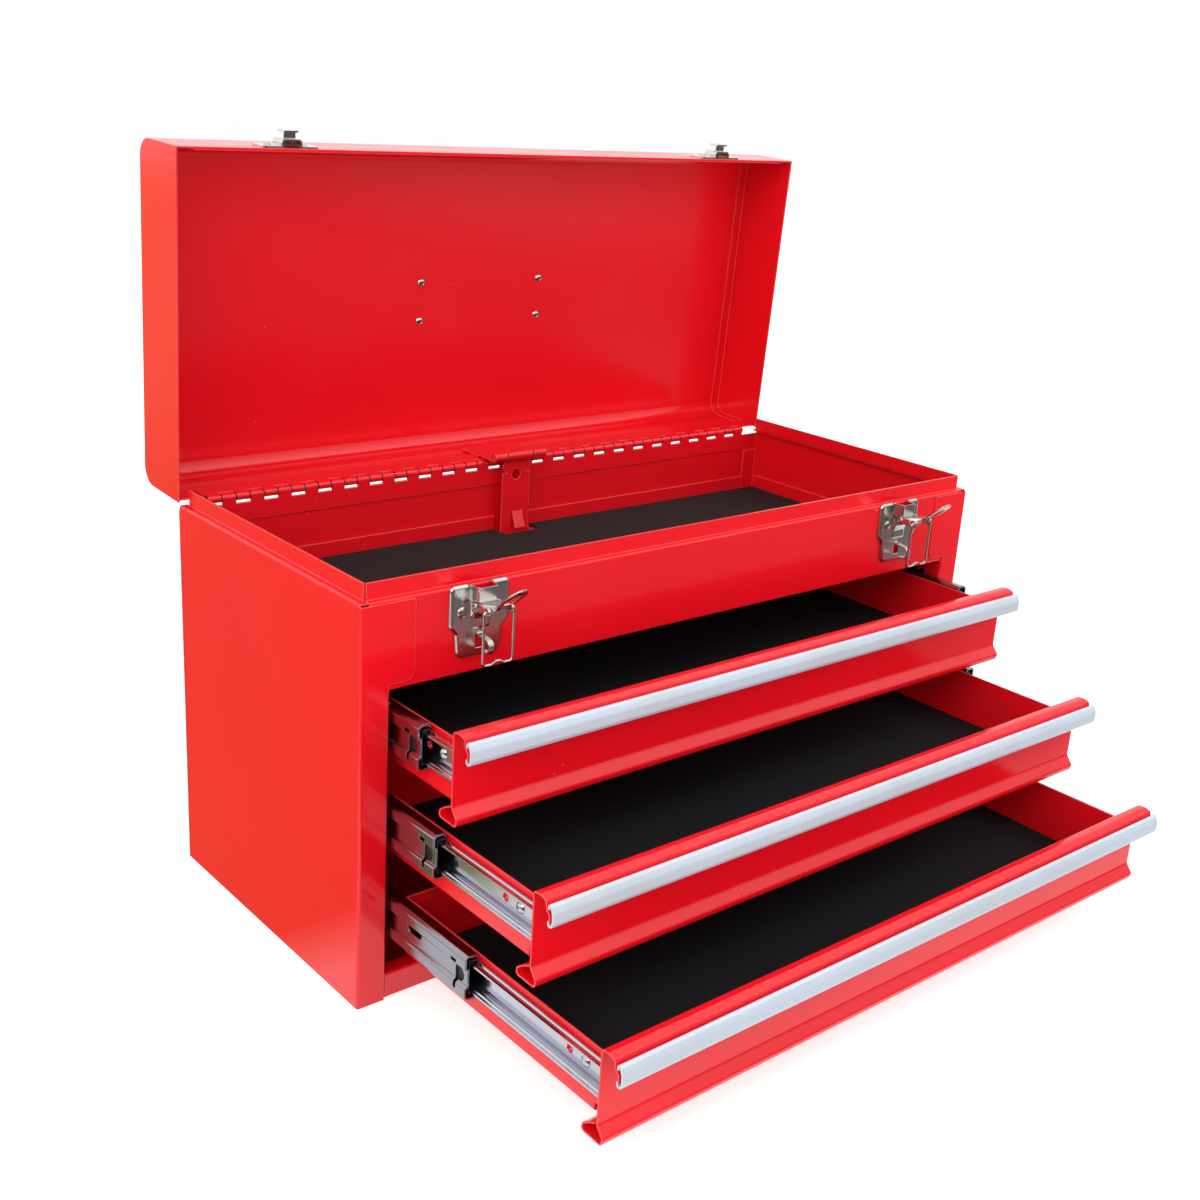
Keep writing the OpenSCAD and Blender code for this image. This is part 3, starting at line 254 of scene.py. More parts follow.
def build_rolling(tree, given):
    """Fine lines of rolled or drawn metal along one axis, and a slow cloudiness, both about 0.5."""
    lines = noise(tree, given["Vector"], 60, 6.0, 0.75)
    cloud = noise(tree, given["Vector"], 3, 2.0)
    return {"Lines": lines, "Cloud": cloud}


def build_grain(tree, given):
    """Skin of closed-cell foam: rounded pebbles of under a millimetre with finer pores."""
    cells = node(tree, "ShaderNodeTexVoronoi", Scale=1500.0, _feature="SMOOTH_F1")
    tree.links.new(given["Vector"], cells.inputs["Vector"])
    pebbles = math_node(tree, "SUBTRACT", 1.0, cells.outputs["Distance"])
    pores = noise(tree, given["Vector"], 5200, 2.0)
    return {"Height": math_node(tree, "ADD", pebbles, math_node(tree, "MULTIPLY", pores, 0.3))}


def groups():
    """The effects that more than one finish uses, made on first call."""
    if "Powder Coat Ripple" not in bpy.data.node_groups:
        vector, height, mask = ("Vector", VECTOR, None), ("Height", FLOAT), ("Mask", FLOAT)
        group("Powder Coat Ripple", [vector], [height], build_peel)
        group("Handling Marks", [vector], [mask], build_handling)
        group("Dust Specks", [vector, ("Amount", FLOAT, 1.0)], [mask], build_specks)
        group("Rolling Lines", [vector], [("Lines", FLOAT), ("Cloud", FLOAT)], build_rolling)
        group("Foam Skin", [vector], [height], build_grain)
    return bpy.data.node_groups


# ---------------------------------------------------------------- materials
class Finish:
    """A material being built: object coordinates, a Principled shader and short ways to feed it."""

    def __init__(self, name, **sockets):
        self.material = bpy.data.materials.new(name)
        self.material.use_nodes = True
        self.tree = self.material.node_tree
        self.shader = self.tree.nodes["Principled BSDF"]
        self.place = node(self.tree, "ShaderNodeTexCoord", -1200).outputs["Object"]
        for key, value in sockets.items():
            self.shader.inputs[key.replace("_", " ")].default_value = value

    def link(self, value, socket):
        self.tree.links.new(value, self.shader.inputs[socket])

    def effect(self, name, vector=None, **values):
        made = node(self.tree, "ShaderNodeGroup", -900, _node_tree=groups()[name])
        self.tree.links.new(vector or self.place, made.inputs["Vector"])
        for key, value in values.items():
            made.inputs[key].default_value = value
        return made.outputs

    def stretch(self, *factors):
        return stretched(self.tree, self.place, factors)

    def mix(self, mask, a, b):
        """Colour a where mask is 0 and b where it is 1."""
        made = node(self.tree, "ShaderNodeMix", -400, _data_type="RGBA")
        self.tree.links.new(mask, made.inputs["Factor"])
        for socket, value in ((made.inputs[6], a), (made.inputs[7], b)):
            if isinstance(value, bpy.types.NodeSocket):
                self.tree.links.new(value, socket)
            else:
                socket.default_value = (*value, 1)
        return made.outputs[2]

    def between(self, value, low, high, out_low, out_high):
        return ramp(self.tree, value, low, high, out_low, out_high)

    def bump(self, height, distance, strength=1.0, edge=0.0):
        """Bump from a height, over the normals of edges rounded by a radius if one is given."""
        made = node(self.tree, "ShaderNodeBump", -300, Strength=strength, Distance=distance)
        self.tree.links.new(height, made.inputs["Height"])
        if edge:
            soft = node(self.tree, "ShaderNodeBevel", -600, Radius=edge, _samples=4)
            self.tree.links.new(soft.outputs["Normal"], made.inputs["Normal"])
        self.link(made.outputs["Normal"], "Normal")


def shade(rgb, factor):
    return tuple(min(1.0, c * factor) for c in rgb)


def edge_highlight_mask(made, radius):
    """Where the painted highlight lies along an edge: 1 at an edge and 0 away from it, from how far the normal of an
    edge rounded by the radius turns from the face's own."""
    soft = node(made.tree, "ShaderNodeBevel", -900, Radius=radius, _samples=4)
    own = made.tree.nodes.new("ShaderNodeNewGeometry")
    same = node(made.tree, "ShaderNodeVectorMath", -700, _operation="DOT_PRODUCT")
    made.tree.links.new(soft.outputs["Normal"], same.inputs[0])
    made.tree.links.new(own.outputs["Normal"], same.inputs[1])
    return ramp(made.tree, same.outputs["Value"], 0.80, 0.96, 1.0, 0.0)


def knuckle_shade_mask(made):
    """Painted shade in the gaps where the hinge's knuckles meet, as a mask: one line at every pitch along X, and only
    near the pin's axis.
    """
    split = node(made.tree, "ShaderNodeSeparateXYZ", -900)
    made.tree.links.new(made.place, split.inputs[0])
    low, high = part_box("hinge_pin")
    across = [math_node(made.tree, "SUBTRACT", split.outputs[k], (low[k] + high[k]) / 2) for k in (1, 2)]
    away = math_node(made.tree, "MAXIMUM", *(math_node(made.tree, "ABSOLUTE", value) for value in across))
    near = ramp(made.tree, away, 0.0026, 0.0031, 1.0, 0.0)
    run = math_node(made.tree, "SUBTRACT", split.outputs[0], KNUCKLE_FROM)
    steps = math_node(made.tree, "DIVIDE", run, KNUCKLE_PITCH)
    part = math_node(made.tree, "FRACT", math_node(made.tree, "ADD", steps, 0.5))
    off = math_node(made.tree, "ABSOLUTE", math_node(made.tree, "SUBTRACT", part, 0.5))
    gap = KNUCKLE_GAP / KNUCKLE_PITCH
    return math_node(made.tree, "MULTIPLY", near, ramp(made.tree, off, gap * 0.5, gap, 1.0, 0.0))


def red_paint(name="red powder coat", hinge=False):
    """The powder coat: cloudy, with a painted highlight along its edges, dusty and a little smudged. On a hinge,
    painted shade darkens the gaps between the knuckles.
    """
    paint = settings().paint
    made = Finish(name, Specular_IOR_Level=paint.shine)
    cloud = made.effect("Rolling Lines")["Cloud"]
    marks = made.effect("Handling Marks")["Mask"]
    specks = made.effect("Dust Specks", Amount=paint.dust)["Mask"]
    base = made.mix(made.between(cloud, 0.35, 0.65, 0, 1), shade(paint.red, 0.96), shade(paint.red, 1.03))
    # Painted highlight: a pale pink mixed into the coat along every edge, where light would catch the sheet's rim
    marked = made.mix(math_node(made.tree, "MULTIPLY", edge_highlight_mask(made, paint.edge), 0.75), base, EDGE_HIGHLIGHT)
    if hinge:
        # Painted shade: near-black lines in the gaps between the hinge's knuckles
        marked = made.mix(knuckle_shade_mask(made), marked, KNUCKLE_SHADE)
    made.link(made.mix(specks, marked, DUSTY_PAINT), "Base Color")
    made.link(made.between(marks, 0, 1, paint.gloss, paint.gloss + 0.09), "Roughness")
    made.bump(made.effect("Powder Coat Ripple")["Height"], paint.peel, edge=paint.edge)
    return made.material


def rolled_metal(name, rgb, rough, along, wear=0.08, metallic=1.0, spread=0.055, edge=0.0):
    """Bare metal with rolling lines along one axis (0 X, 1 Y, 2 Z), which vary its tone and its roughness by spread.
    Handling makes it rougher by up to wear."""
    made = Finish(name, Metallic=metallic)
    factors = [0.02, 0.02, 0.02]
    factors[along] = 1.0
    lines = made.effect("Rolling Lines", made.stretch(*factors))["Lines"]
    cloud = made.effect("Rolling Lines", made.stretch(0.25, 0.25, 0.25))["Cloud"]
    tone = made.mix(made.between(lines, 0.3, 0.7, 0, 1), shade(rgb, 0.90), shade(rgb, 1.08))
    tarnish = shade((rgb[0], rgb[1] * 0.98, rgb[2] * 0.93), 0.94)
    made.link(made.mix(made.between(cloud, 0.40, 0.66, 0, 1), tone, tarnish), "Base Color")
    marks = made.effect("Handling Marks", made.stretch(0.4, 0.4, 0.4))["Mask"]
    made.link(math_node(made.tree, "ADD", made.between(lines, 0.3, 0.7, rough - spread, rough + spread),
                        made.between(marks, 0, 1, 0, wear)), "Roughness")
    made.bump(lines, 0.00002, 0.35 * spread / 0.055, edge)
    return made.material


def foam(name, rgb):
    """Closed-cell foam: matt, slightly cloudy, with pale dust."""
    made = Finish(name, Roughness=0.86, Specular_IOR_Level=0.28)
    cloud = made.effect("Rolling Lines")["Cloud"]
    specks = made.effect("Dust Specks", made.stretch(0.7, 0.7, 0.7), Amount=0.25)["Mask"]
    base = made.mix(made.between(cloud, 0.3, 0.7, 0, 1), shade(rgb, 0.85), shade(rgb, 1.2))
    made.link(made.mix(specks, base, shade(rgb, 4)), "Base Color")
    made.bump(made.effect("Foam Skin")["Height"], 0.00008, 0.8)
    return made.material


def moulded(name, rgb, rough):
    """Moulded rubber or plastic with a fine pebbled skin."""
    made = Finish(name, Specular_IOR_Level=0.45)
    height = made.effect("Foam Skin", made.stretch(0.6, 0.6, 0.6))["Height"]
    marks = made.effect("Handling Marks", made.stretch(0.5, 0.5, 0.5))["Mask"]
    made.link(made.mix(marks, rgb, shade(rgb, 1.5)), "Base Color")
    made.link(made.between(marks, 0, 1, rough, rough + 0.12), "Roughness")
    made.bump(height, 0.00003, 0.5)
    return made.material


FINISHES = {}


def finish(name):
    """The named finish, made once."""
    metal, liner = settings().metal, settings().liner
    recipes = {
        "red_paint": red_paint,
        "hinge_paint_gap_shade": lambda: red_paint("red powder coat on the hinge", True),
        "zinc_slide": lambda: rolled_metal("zinc plated slide", metal.zinc, 0.15, 1, 0.05, spread=0.02, edge=0.0004),
        # A darker copy of the slide zinc: painted shade for the outer and middle members, as they lie in the cabinet's
        # shadow
        "zinc_painted_shade": lambda: rolled_metal("zinc plated outer slide", shade(metal.zinc, 0.58), 0.17, 1, 0.05,
                                            spread=0.02, edge=0.0005),
        "zinc_rod": lambda: rolled_metal("zinc plated rod", metal.zinc, 0.26, 0),
        "nickel": lambda: rolled_metal("worn nickel plate", metal.nickel, 0.22, 2, 0.16, spread=0.03),
        "chrome": lambda: rolled_metal("bright nickel plate", shade(metal.nickel, 1.2), 0.12, 2, 0.10, spread=0.02,
                                       edge=0.0004),
        "aluminium": lambda: rolled_metal("anodised aluminium", metal.aluminium, 0.36, 0, 0.05, metallic=0.2,
                                          spread=0.06),
        "tray_foam": lambda: foam("tray liner foam", liner.tray),
        "drawer_foam": lambda: foam("drawer liner foam", liner.drawer),
        "cage_plastic": lambda: moulded("ball cage plastic", (0.010, 0.010, 0.011), 0.42),
        "grip_rubber": lambda: moulded("grip rubber", (0.013, 0.013, 0.014), 0.55),
    }
    if name not in FINISHES:
        FINISHES[name] = recipes[name]()
    return FINISHES[name]


def dress(node_name, finish_name):
    """Gives a CAD node its finish in every material slot."""
    mesh = NODES[node_name].data
    mesh.materials.clear()
    mesh.materials.append(finish(finish_name))


# ---------------------------------------------------------------- meshes
def unit(vectors):
    return vectors / np.linalg.norm(vectors, axis=-1, keepdims=True)


def rounded(corners, radii, steps=6):
    """A polyline with round corners. At a corner q, where the path turns by a from direction u, the arc of radius r
    starts at q - u r tan(|a|/2), and its points are its centre plus the start arm turned by a k/steps."""
    corners = np.asarray(corners, float)
    run = unit(np.diff(corners, axis=0))
    u, v = run[:-1], run[1:]
    a = np.arctan2(u[:, 0] * v[:, 1] - u[:, 1] * v[:, 0], np.sum(u * v, axis=1))
    r = np.asarray(radii, float)
    left = np.stack([-u[:, 1], u[:, 0]], axis=1)
    side = np.sign(a)[:, None]
    centre = corners[1:-1] - u * (r * np.tan(np.abs(a) / 2))[:, None] + side * r[:, None] * left
    arm = -side * r[:, None] * left
    turn = a[:, None] * np.linspace(0, 1, steps + 1)[None, :]
    cross = np.stack([-arm[:, 1], arm[:, 0]], axis=1)
    arcs = centre[:, None] + np.cos(turn)[..., None] * arm[:, None] + np.sin(turn)[..., None] * cross[:, None]
    return np.vstack([corners[:1], arcs.reshape(-1, 2), corners[-1:]])


def thickened(line, thickness, relief=0.0):
    """The closed ring of a strip: the line moved half a thickness to its left, then back along its right side.
    relief is taken off the left side's distance, for grooves."""
    along = unit(np.gradient(line, axis=0))
    normal = np.stack([-along[:, 1], along[:, 0]], axis=1)
    relief = np.broadcast_to(relief, len(line))[:, None]
    return np.vstack([line + normal * (thickness / 2 - relief), (line - normal * thickness / 2)[::-1]])


def quads(rows, columns, closed=False):
    """Faces of a grid of vertices stored row by row, its columns closed to a ring if asked."""
    i, j = np.meshgrid(np.arange(rows - 1), np.arange(columns - (0 if closed else 1)), indexing="ij")
    k = (j + 1) % columns
    return np.stack([i * columns + j, i * columns + k, (i + 1) * columns + k, (i + 1) * columns + j],
                    axis=-1).reshape(-1, 4)


def swept(ring, stations):
    """A strip's ring carried along X: every station repeats it, and each end is closed by quads from side to side."""
    n = len(ring)
    grid = np.empty((len(stations), n, 3))
    grid[..., 0] = np.asarray(stations)[:, None]
    grid[..., 1:] = ring
    i = np.arange(n // 2 - 1)
    cap = np.stack([i, i + 1, n - 2 - i, n - 1 - i], axis=1)
    faces = np.vstack([quads(len(stations), n, closed=True), cap[:, ::-1], cap + n * (len(stations) - 1)])
    return grid.reshape(-1, 3), faces


def piece(name, vertices, faces, body, slot, finish_name, replaces=(), angle=35, round_off=0.0, segments=2,
          wall=0.0):
    """A mesh in millimetres as a piece of the object: it rides on its body and stands for its CAD nodes. Its normals
    are made to point outwards, an open sheet may get a wall's thickness, and its edges may be rounded off."""
    mesh = bpy.data.meshes.new(name)
    mesh.from_pydata((np.asarray(vertices) * MM).tolist(), [], np.asarray(faces).tolist())
    shell = bmesh.new()
    shell.from_mesh(mesh)
    bmesh.ops.remove_doubles(shell, verts=shell.verts, dist=1e-6)
    bmesh.ops.recalc_face_normals(shell, faces=shell.faces)
    shell.to_mesh(mesh)
    shell.free()
    mesh.shade_smooth()
    mesh.set_sharp_from_angle(angle=math.radians(angle))
    made = bpy.data.objects.new(name, mesh)
    bpy.context.scene.collection.objects.link(made)
    if wall:
        solid = made.modifiers.new("wall", "SOLIDIFY")
        solid.thickness, solid.offset = wall * MM, 0.0
    if round_off:
        bevel = made.modifiers.new("edges", "BEVEL")
        bevel.width, bevel.segments, bevel.limit_method = round_off * MM, segments, "ANGLE"
        bevel.angle_limit, bevel.harden_normals = math.radians(angle), True
    mesh.materials.append(finish(finish_name))
    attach(made, body)
    if replaces:
        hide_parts(*replaces)
    return made


def box_mm(node_name):
    """A CAD node's box in millimetres, as its low and its high corner."""
    return tuple(np.array(corner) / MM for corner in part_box(node_name))


def drawer_place(drawer):
    """The Y of a drawer's front plane and the Z of its lip's top, in millimetres."""
    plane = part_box(f"drawer_body_{drawer}")[0][1] / MM - SHEET
    return plane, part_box(f"drawer_front_{drawer}")[1][2] / MM


def front_ring():
    """The front's side view: a finger lip, a flat face, and a toe curled back under, as one bent strip."""
    return thickened(rounded(LIP + tuple((y, z - FRONT_HEIGHT) for y, z in TOE), FRONT_BENDS, 8), SHEET)


def trim_ring():
    """The trim's side view: an open tube whose ends curl in. Its outer face carries grooves, each a dip of
    depth exp(-((distance - place) / width)^2), with the distance measured along the strip."""
    line = rounded(TRIM, TRIM_BENDS, 10)
    run = np.concatenate([[0], np.cumsum(np.linalg.norm(np.diff(line, axis=0), axis=1))])
    even = np.linspace(0, run[-1], 150)
    line = np.stack([np.interp(even, run, line[:, k]) for k in (0, 1)], axis=1)
    places = np.array(TRIM_GROOVES)[:, None]
    dips = GROOVE_DEPTH * np.exp(-((even[None, :] - places) / GROOVE_WIDTH) ** 2).sum(axis=0)
    return thickened(line, TRIM_SHEET, dips)


def sheet_grid(x, y, z, hole=None):
    """A level sheet of quads over the stations x and y, at heights z(x, y), without the cells inside hole."""
    gx, gy = np.meshgrid(x, y, indexing="ij")
    vertices = np.stack([gx, gy, z(gx, gy)], axis=-1).reshape(-1, 3)
    faces = quads(len(x), len(y))
    if hole is not None:
        middle = vertices[faces].mean(axis=1)
        (x0, y0), (x1, y1) = hole
        inside = (middle[:, 0] > x0) & (middle[:, 0] < x1) & (middle[:, 1] > y0) & (middle[:, 1] < y1)
        faces = faces[~inside]
    return vertices, faces


def liner(name, body, node_name, finish_name, hole=None):
    """A cut foam mat in its CAD solid's box: a sheet that rises and falls by about 0.2 mm, as a sum of slow waves,
    with walls added on both sides."""
    low, high = box_mm(node_name)
    thick = high[2] - low[2]
    lines = [np.linspace(low[k] + 0.2, high[k] - 0.2, count) for k, count in ((0, 90), (1, 44))]
    if hole:
        lines = [np.unique(np.concatenate([line, [corner[k] for corner in hole]])) for k, line in enumerate(lines)]

    def middle(x, y):
        wave = np.sin(x / 31 + y / 17) + np.sin(x / 13 - y / 23 + 1.3) + 0.6 * np.sin(y / 9 + 0.4)
        return low[2] + thick / 2 + 0.08 * wave - 0.16

    made = piece(name, *sheet_grid(*lines, middle, hole), body, "foam_liner", finish_name, (node_name,), angle=50,
                 round_off=0.5, segments=3, wall=thick - 0.45)
    return made


def turned(profile, centre, axis, sides=32):
    """A profile of (distance along the axis, radius) pairs turned about an axis (0 X, 1 Y, 2 Z) through centre. A
    radius of 0 at an end closes it."""
    profile = np.asarray(profile, float)
    turn = np.linspace(0, 2 * np.pi, sides, endpoint=False)
    grid = np.empty((len(profile), sides, 3))
    grid[..., axis] = profile[:, :1]
    grid[..., (axis + 1) % 3] = profile[:, 1:] * np.cos(turn)
    grid[..., (axis + 2) % 3] = profile[:, 1:] * np.sin(turn)
    return grid.reshape(-1, 3) + centre, quads(len(profile), sides, closed=True)


def wire(path, diameter, y, sides=16):
    """A round wire along a path in XZ at depth y: rings of radius d/2 across the path's direction, its ends closed
    by rings that shrink to a point."""
    along = unit(np.gradient(path, axis=0))
    size = np.full(len(path), diameter / 2)
    path = np.vstack([path[:1], path[:1], path, path[-1:], path[-1:]])
    along = np.vstack([along[:1], along[:1], along, along[-1:], along[-1:]])
    size = np.concatenate([[1e-4, diameter * 0.42], size, [diameter * 0.42, 1e-4]])[:, None]
    turn = np.linspace(0, 2 * np.pi, sides, endpoint=False)[None, :]
    grid = np.empty((len(path), sides, 3))
    grid[..., 0] = path[:, :1] - along[:, 1:] * np.cos(turn) * size
    grid[..., 1] = y + np.sin(turn) * size
    grid[..., 2] = path[:, 1:] + along[:, :1] * np.cos(turn) * size
    return grid.reshape(-1, 3), quads(len(path), sides, closed=True)


def joined(*shapes):
    """Several (vertices, faces) shapes of quads as one."""
    counts = np.cumsum([0] + [len(v) for v, _ in shapes])
    return np.vstack([v for v, _ in shapes]), np.vstack([f + k for (_, f), k in zip(shapes, counts)])


def smooth(value, low, high):
    """3t^2 - 2t^3 of value from low (0) to high (1)."""
    t = np.clip((value - low) / (high - low), 0, 1)
    return t * t * (3 - 2 * t)


def plate_half(z):
    """Half the latch plate's width at height z: full, then stepped in and tapered, smoothed by a running mean. Round
    corners take off r - sqrt(r^2 - d^2), where d is how far z is within r of an end."""
    fine = np.linspace(PLATE_LOW, PLATE_TOP, 400)
    w = np.interp(fine, [PLATE_LOW, -27.2, -22.6, PLATE_TOP], [14.6, 15.9, 20.0, 20.0])
    w = np.convolve(np.pad(w, 12, "edge"), np.ones(25) / 25, "valid")
    half = np.interp(z, fine, w)
    for radius, away in ((3.2, PLATE_TOP - z), (4.2, z - PLATE_LOW)):
        d = np.clip(radius - away, 0, radius)
        half = half - (radius - np.sqrt(radius ** 2 - d ** 2))
    return half


def latch_pan():
    """The latch plate about its own place: x = u half(z), and y a pan 1.9 mm deep with rolled edges sqrt(2e - e^2),
    where e is the distance from the rim over 1.7 mm. It has a channel of trapezoid section at the top and a low ridge
    under it, both made of smooth steps, and an opening for the staple."""
    ends = np.linspace(0, 1, 9) ** 2
    z = np.concatenate([PLATE_TOP - 3 * ends, np.linspace(PLATE_TOP - 3, PLATE_LOW + 4, 76)[1:-1],
                        PLATE_LOW + 4 * ends[::-1]])
    u = np.concatenate([-1 + 0.12 * ends, np.linspace(-0.88, 0.88, 78)[1:-1], 1 - 0.12 * ends[::-1]])
    half = plate_half(z)[:, None]
    x = u[None, :] * half
    z = np.broadcast_to(z[:, None], x.shape)
    inside = np.minimum((1 - np.abs(u))[None, :] * half, z - PLATE_LOW)
    inside = np.where(np.abs(x) < 8.4, inside, np.minimum(inside, PLATE_TOP - z))
    edge = np.clip(inside / 1.7, 0, 1)
    pan = 1.9 * np.sqrt(np.clip(2 * edge - edge ** 2, 0, 1))
    channel = 7.4 * smooth(np.abs(x), 7.3, 5.9) * (0.2 + 0.8 * smooth(z, -9.6, -7.4)) * smooth(z, -20, -15)
    ridge = 0.5 * smooth(np.abs(x), 6.4, 5.6) * smooth(z, -25.6, -24.6)
    grid = np.stack([x, -pan - channel - ridge, z], axis=-1)
    faces = quads(*x.shape)
    middle = grid.reshape(-1, 3)[faces].mean(axis=1)
    slot = (np.abs(middle[:, 0]) < 2.9) & (middle[:, 2] > -37.4) & (middle[:, 2] < -27.4)
    return grid.reshape(-1, 3), faces[~slot]


def lever_leaf():
    """The lever about its pin, pointing along -y: over its run s and across u, a line that sinks by about 3.5 mm to a
    waist 17 mm out and rises to the tip, cheeks turned down at the root, and an oval tip. Its slot is the
    superellipse (s / 8.6)^4 + (x / 3.4)^2 < 1 round a run of 25.4 mm."""
    tip = 39.6
    close = 1 - (1 - np.linspace(0, 1, 14)[1:]) ** 2
    s = np.concatenate([np.linspace(-1.2, 20.6, 50), np.linspace(20.6, 33.6, 28)[1:], 33.6 + 6 * close])[:, None]
    u = np.linspace(-1, 1, 41)[None, :]
    line = rounded(((3.4, 1.0), (-5, 0.9), (-17.2, -2.6), (-42, 3.4)), (6, 9), 12)
    run = np.concatenate([[0], np.cumsum(np.linalg.norm(np.diff(line, axis=0), axis=1))]) - 3.4
    y, n = (np.interp(s, run, line[:, k]) for k in (0, 1))
    root = 8.7 - 4.3 * smooth(s, 6.5, 17.5)
    oval = 6.4 * np.sqrt(np.clip(1 - np.clip((s - 27.6) / (tip - 27.6), -1, 1) ** 2, 0, 1))
    blend = smooth(s, 15.5, 22.5)
    half = root * (1 - blend) + np.maximum(oval, 0.02) * blend
    cheek = 4.6 * smooth(s, 18.6, 11.5) * (0.66 + 0.34 * smooth(s, -1, 7))
    flat = np.clip(np.abs(u) / 0.62, 0, 1)
    down = np.clip((np.abs(u) - 0.62) / 0.38, 0, 1)
    bowl = 0.5 * (1 - flat ** 2) * smooth(s, 12, 20)
    x = np.sign(u) * half * (flat - 0.06 * smooth(flat, 0.8, 1.0) * smooth(cheek, 0, 2))
    grid = np.stack(np.broadcast_arrays(x, y, n - cheek * down - bowl - 0.25 * flat ** 6), axis=-1)
    faces = quads(s.shape[0], u.shape[1])
    middle = grid.reshape(-1, 3)[faces].mean(axis=1)
    along = np.interp(-middle[:, 1], -line[:, 0], run)
    slot = (((along - 25.4) / 8.6) ** 4 + (middle[:, 0] / 3.4) ** 2) < 1
    return grid.reshape(-1, 3), faces[~slot]


def swing(vertices, degrees, at):
    """Vertices turned about X, the front end upwards, and moved to a place."""
    c, k = math.cos(math.radians(degrees)), math.sin(math.radians(degrees))
    turn = np.array([[1, 0, 0], [0, c, k], [0, -k, c]])
    return vertices @ turn.T + at


def head(radius, height, out):
    """The profile of a domed rivet head: a quarter of an ellipse, its base a distance out in front."""
    t = np.linspace(np.pi / 2, 0, 10)
    return np.stack([-out - height * np.cos(t), radius * np.sin(t)], axis=1)[::-1]


def plate(side, place):
    """A latch's plate, and the staple that curls out of its opening."""
    vertices, faces = latch_pan()
    piece(f"latch_pan_{side}", vertices + place, faces, "cabinet", **STEEL, replaces=(f"latch_plate_{side}",),
          wall=0.9, angle=50)
    line = rounded(((-1.0, STAPLE_TOP + 2.4), (-1.6, STAPLE_TOP - 0.2), (-13.8, STAPLE_TOP - 1.6),
                    (-13.8, STAPLE_TOP - 9.4), (-6.5, STAPLE_TOP - 9.0)), (2.0, 3.8, 3.4), 8)
    vertices, faces = swept(thickened(line, STAPLE_SHEET), np.linspace(-STAPLE_HALF, STAPLE_HALF, 5))
    piece(f"latch_staple_{side}", vertices + place, faces, "cabinet", **STEEL, round_off=0.3, angle=50)


def fasteners(place, pin):
    """A plate's two domed rivets, and the lever's pin with its flat heads."""
    rivets = [turned(head(3.5, 2.1, 1.7), place + (x, 0, RIVET_Z), 1) for x in (-RIVET_OUT, RIVET_OUT)]
    ends = ((-9.4, 0), (-9.4, 1.4), (-9.25, 1.8), (-8.98, 1.8), (-8.98, 1.2), (8.98, 1.2), (8.98, 1.8),
            (9.25, 1.8), (9.4, 1.4), (9.4, 0))
    return [*rivets, turned(ends, pin, 0)]


def lever(side, pin, eye):
    """A latch's lever: its leaf, and on each side a ring round the pin and one round the bail's end."""
    vertices, faces = lever_leaf()
    body = f"lever_{side}"
    piece(f"lever_leaf_{side}", swing(vertices, LEVER_UP, pin), faces, body, **STEEL,
          replaces=(f"latch_lever_{side}",), wall=1.1, angle=50)
    t = np.linspace(0, 2 * np.pi, 13)
    rings = [np.stack([k * EYE_OUT + EYE_WIRE * np.cos(t), EYE_RADIUS + EYE_WIRE * np.sin(t)], axis=1)
             for k in (-1, 1)]
    eyes = [turned(ring, at, 0) for ring in rings for at in (pin, eye)]
    piece(f"lever_eyes_{side}", *joined(*eyes), body, **STEEL, angle=60)


def bail(side, eye):
    """A latch's bail: a wire loop that hangs from the lever's eyes, its foot raised in the middle."""
    low, high = box_mm(f"latch_bail_{side}")
    half, drop = (high[0] - low[0]) / 2 - WIRE_D / 2, eye[2] - low[2] - WIRE_D / 2
    end, foot, rise = 7.6, -drop, 1.5 - drop
    loop = rounded(((-end, 0), (-half, 0), (-half, foot), (-half * 0.42, foot), (-half * 0.14, rise),
                    (half * 0.14, rise), (half * 0.42, foot), (half, foot), (half, 0), (end, 0)),
                   (1.5, 2.2, 1.5, 1.5, 1.5, 1.5, 2.2, 1.5), 6)
    piece(f"bail_wire_{side}", *wire(loop + (eye[0], eye[2]), WIRE_D, eye[1]), f"bail_{side}", **STEEL,
          replaces=(f"latch_bail_{side}",), angle=60)


def grip(low, high):
    """A moulded grip: across it a superellipse |y|^p + |z|^p = 1 with p = 2.6, drawn in at both ends by
    sqrt(1 - s^16), with nine grooves cos^2(pi s / pitch) deep along its low edge, away from the brackets."""
    power, pitch, depth = 2.6, 1 / 4.4, 1.8
    middle, half = (low + high) / 2, (high - low) / 2
    s = np.sin(np.linspace(-np.pi / 2, np.pi / 2, 120))[:, None]
    turn = np.linspace(0, 2 * np.pi, 48, endpoint=False)[None, :]
    across = np.sign(np.cos(turn)) * np.abs(np.cos(turn)) ** (2 / power)
    deep = np.sign(np.sin(turn)) * np.abs(np.sin(turn)) ** (2 / power)
    ends = np.clip(1 - np.abs(s) ** 16, 0, 1) ** 0.5
    grooves = np.cos(np.pi * s / pitch) ** 2 * np.clip(1 - s ** 8, 0, 1)
    vertices = np.empty((s.size, turn.size, 3))
    vertices[..., 0] = middle[0] + half[0] * s
    vertices[..., 1] = middle[1] + half[1] * ends * across
    vertices[..., 2] = middle[2] + half[2] * ends * deep + depth * grooves * np.clip(-deep, 0, 1)
    return vertices.reshape(-1, 3), quads(s.size, turn.size, closed=True)


# ---------------------------------------------------------------- operators
class Builder:
    """What the operators share: each runs its own build."""
    bl_options = {"REGISTER"}

    def execute(self, context):
        self.build()
        return {"FINISHED"}


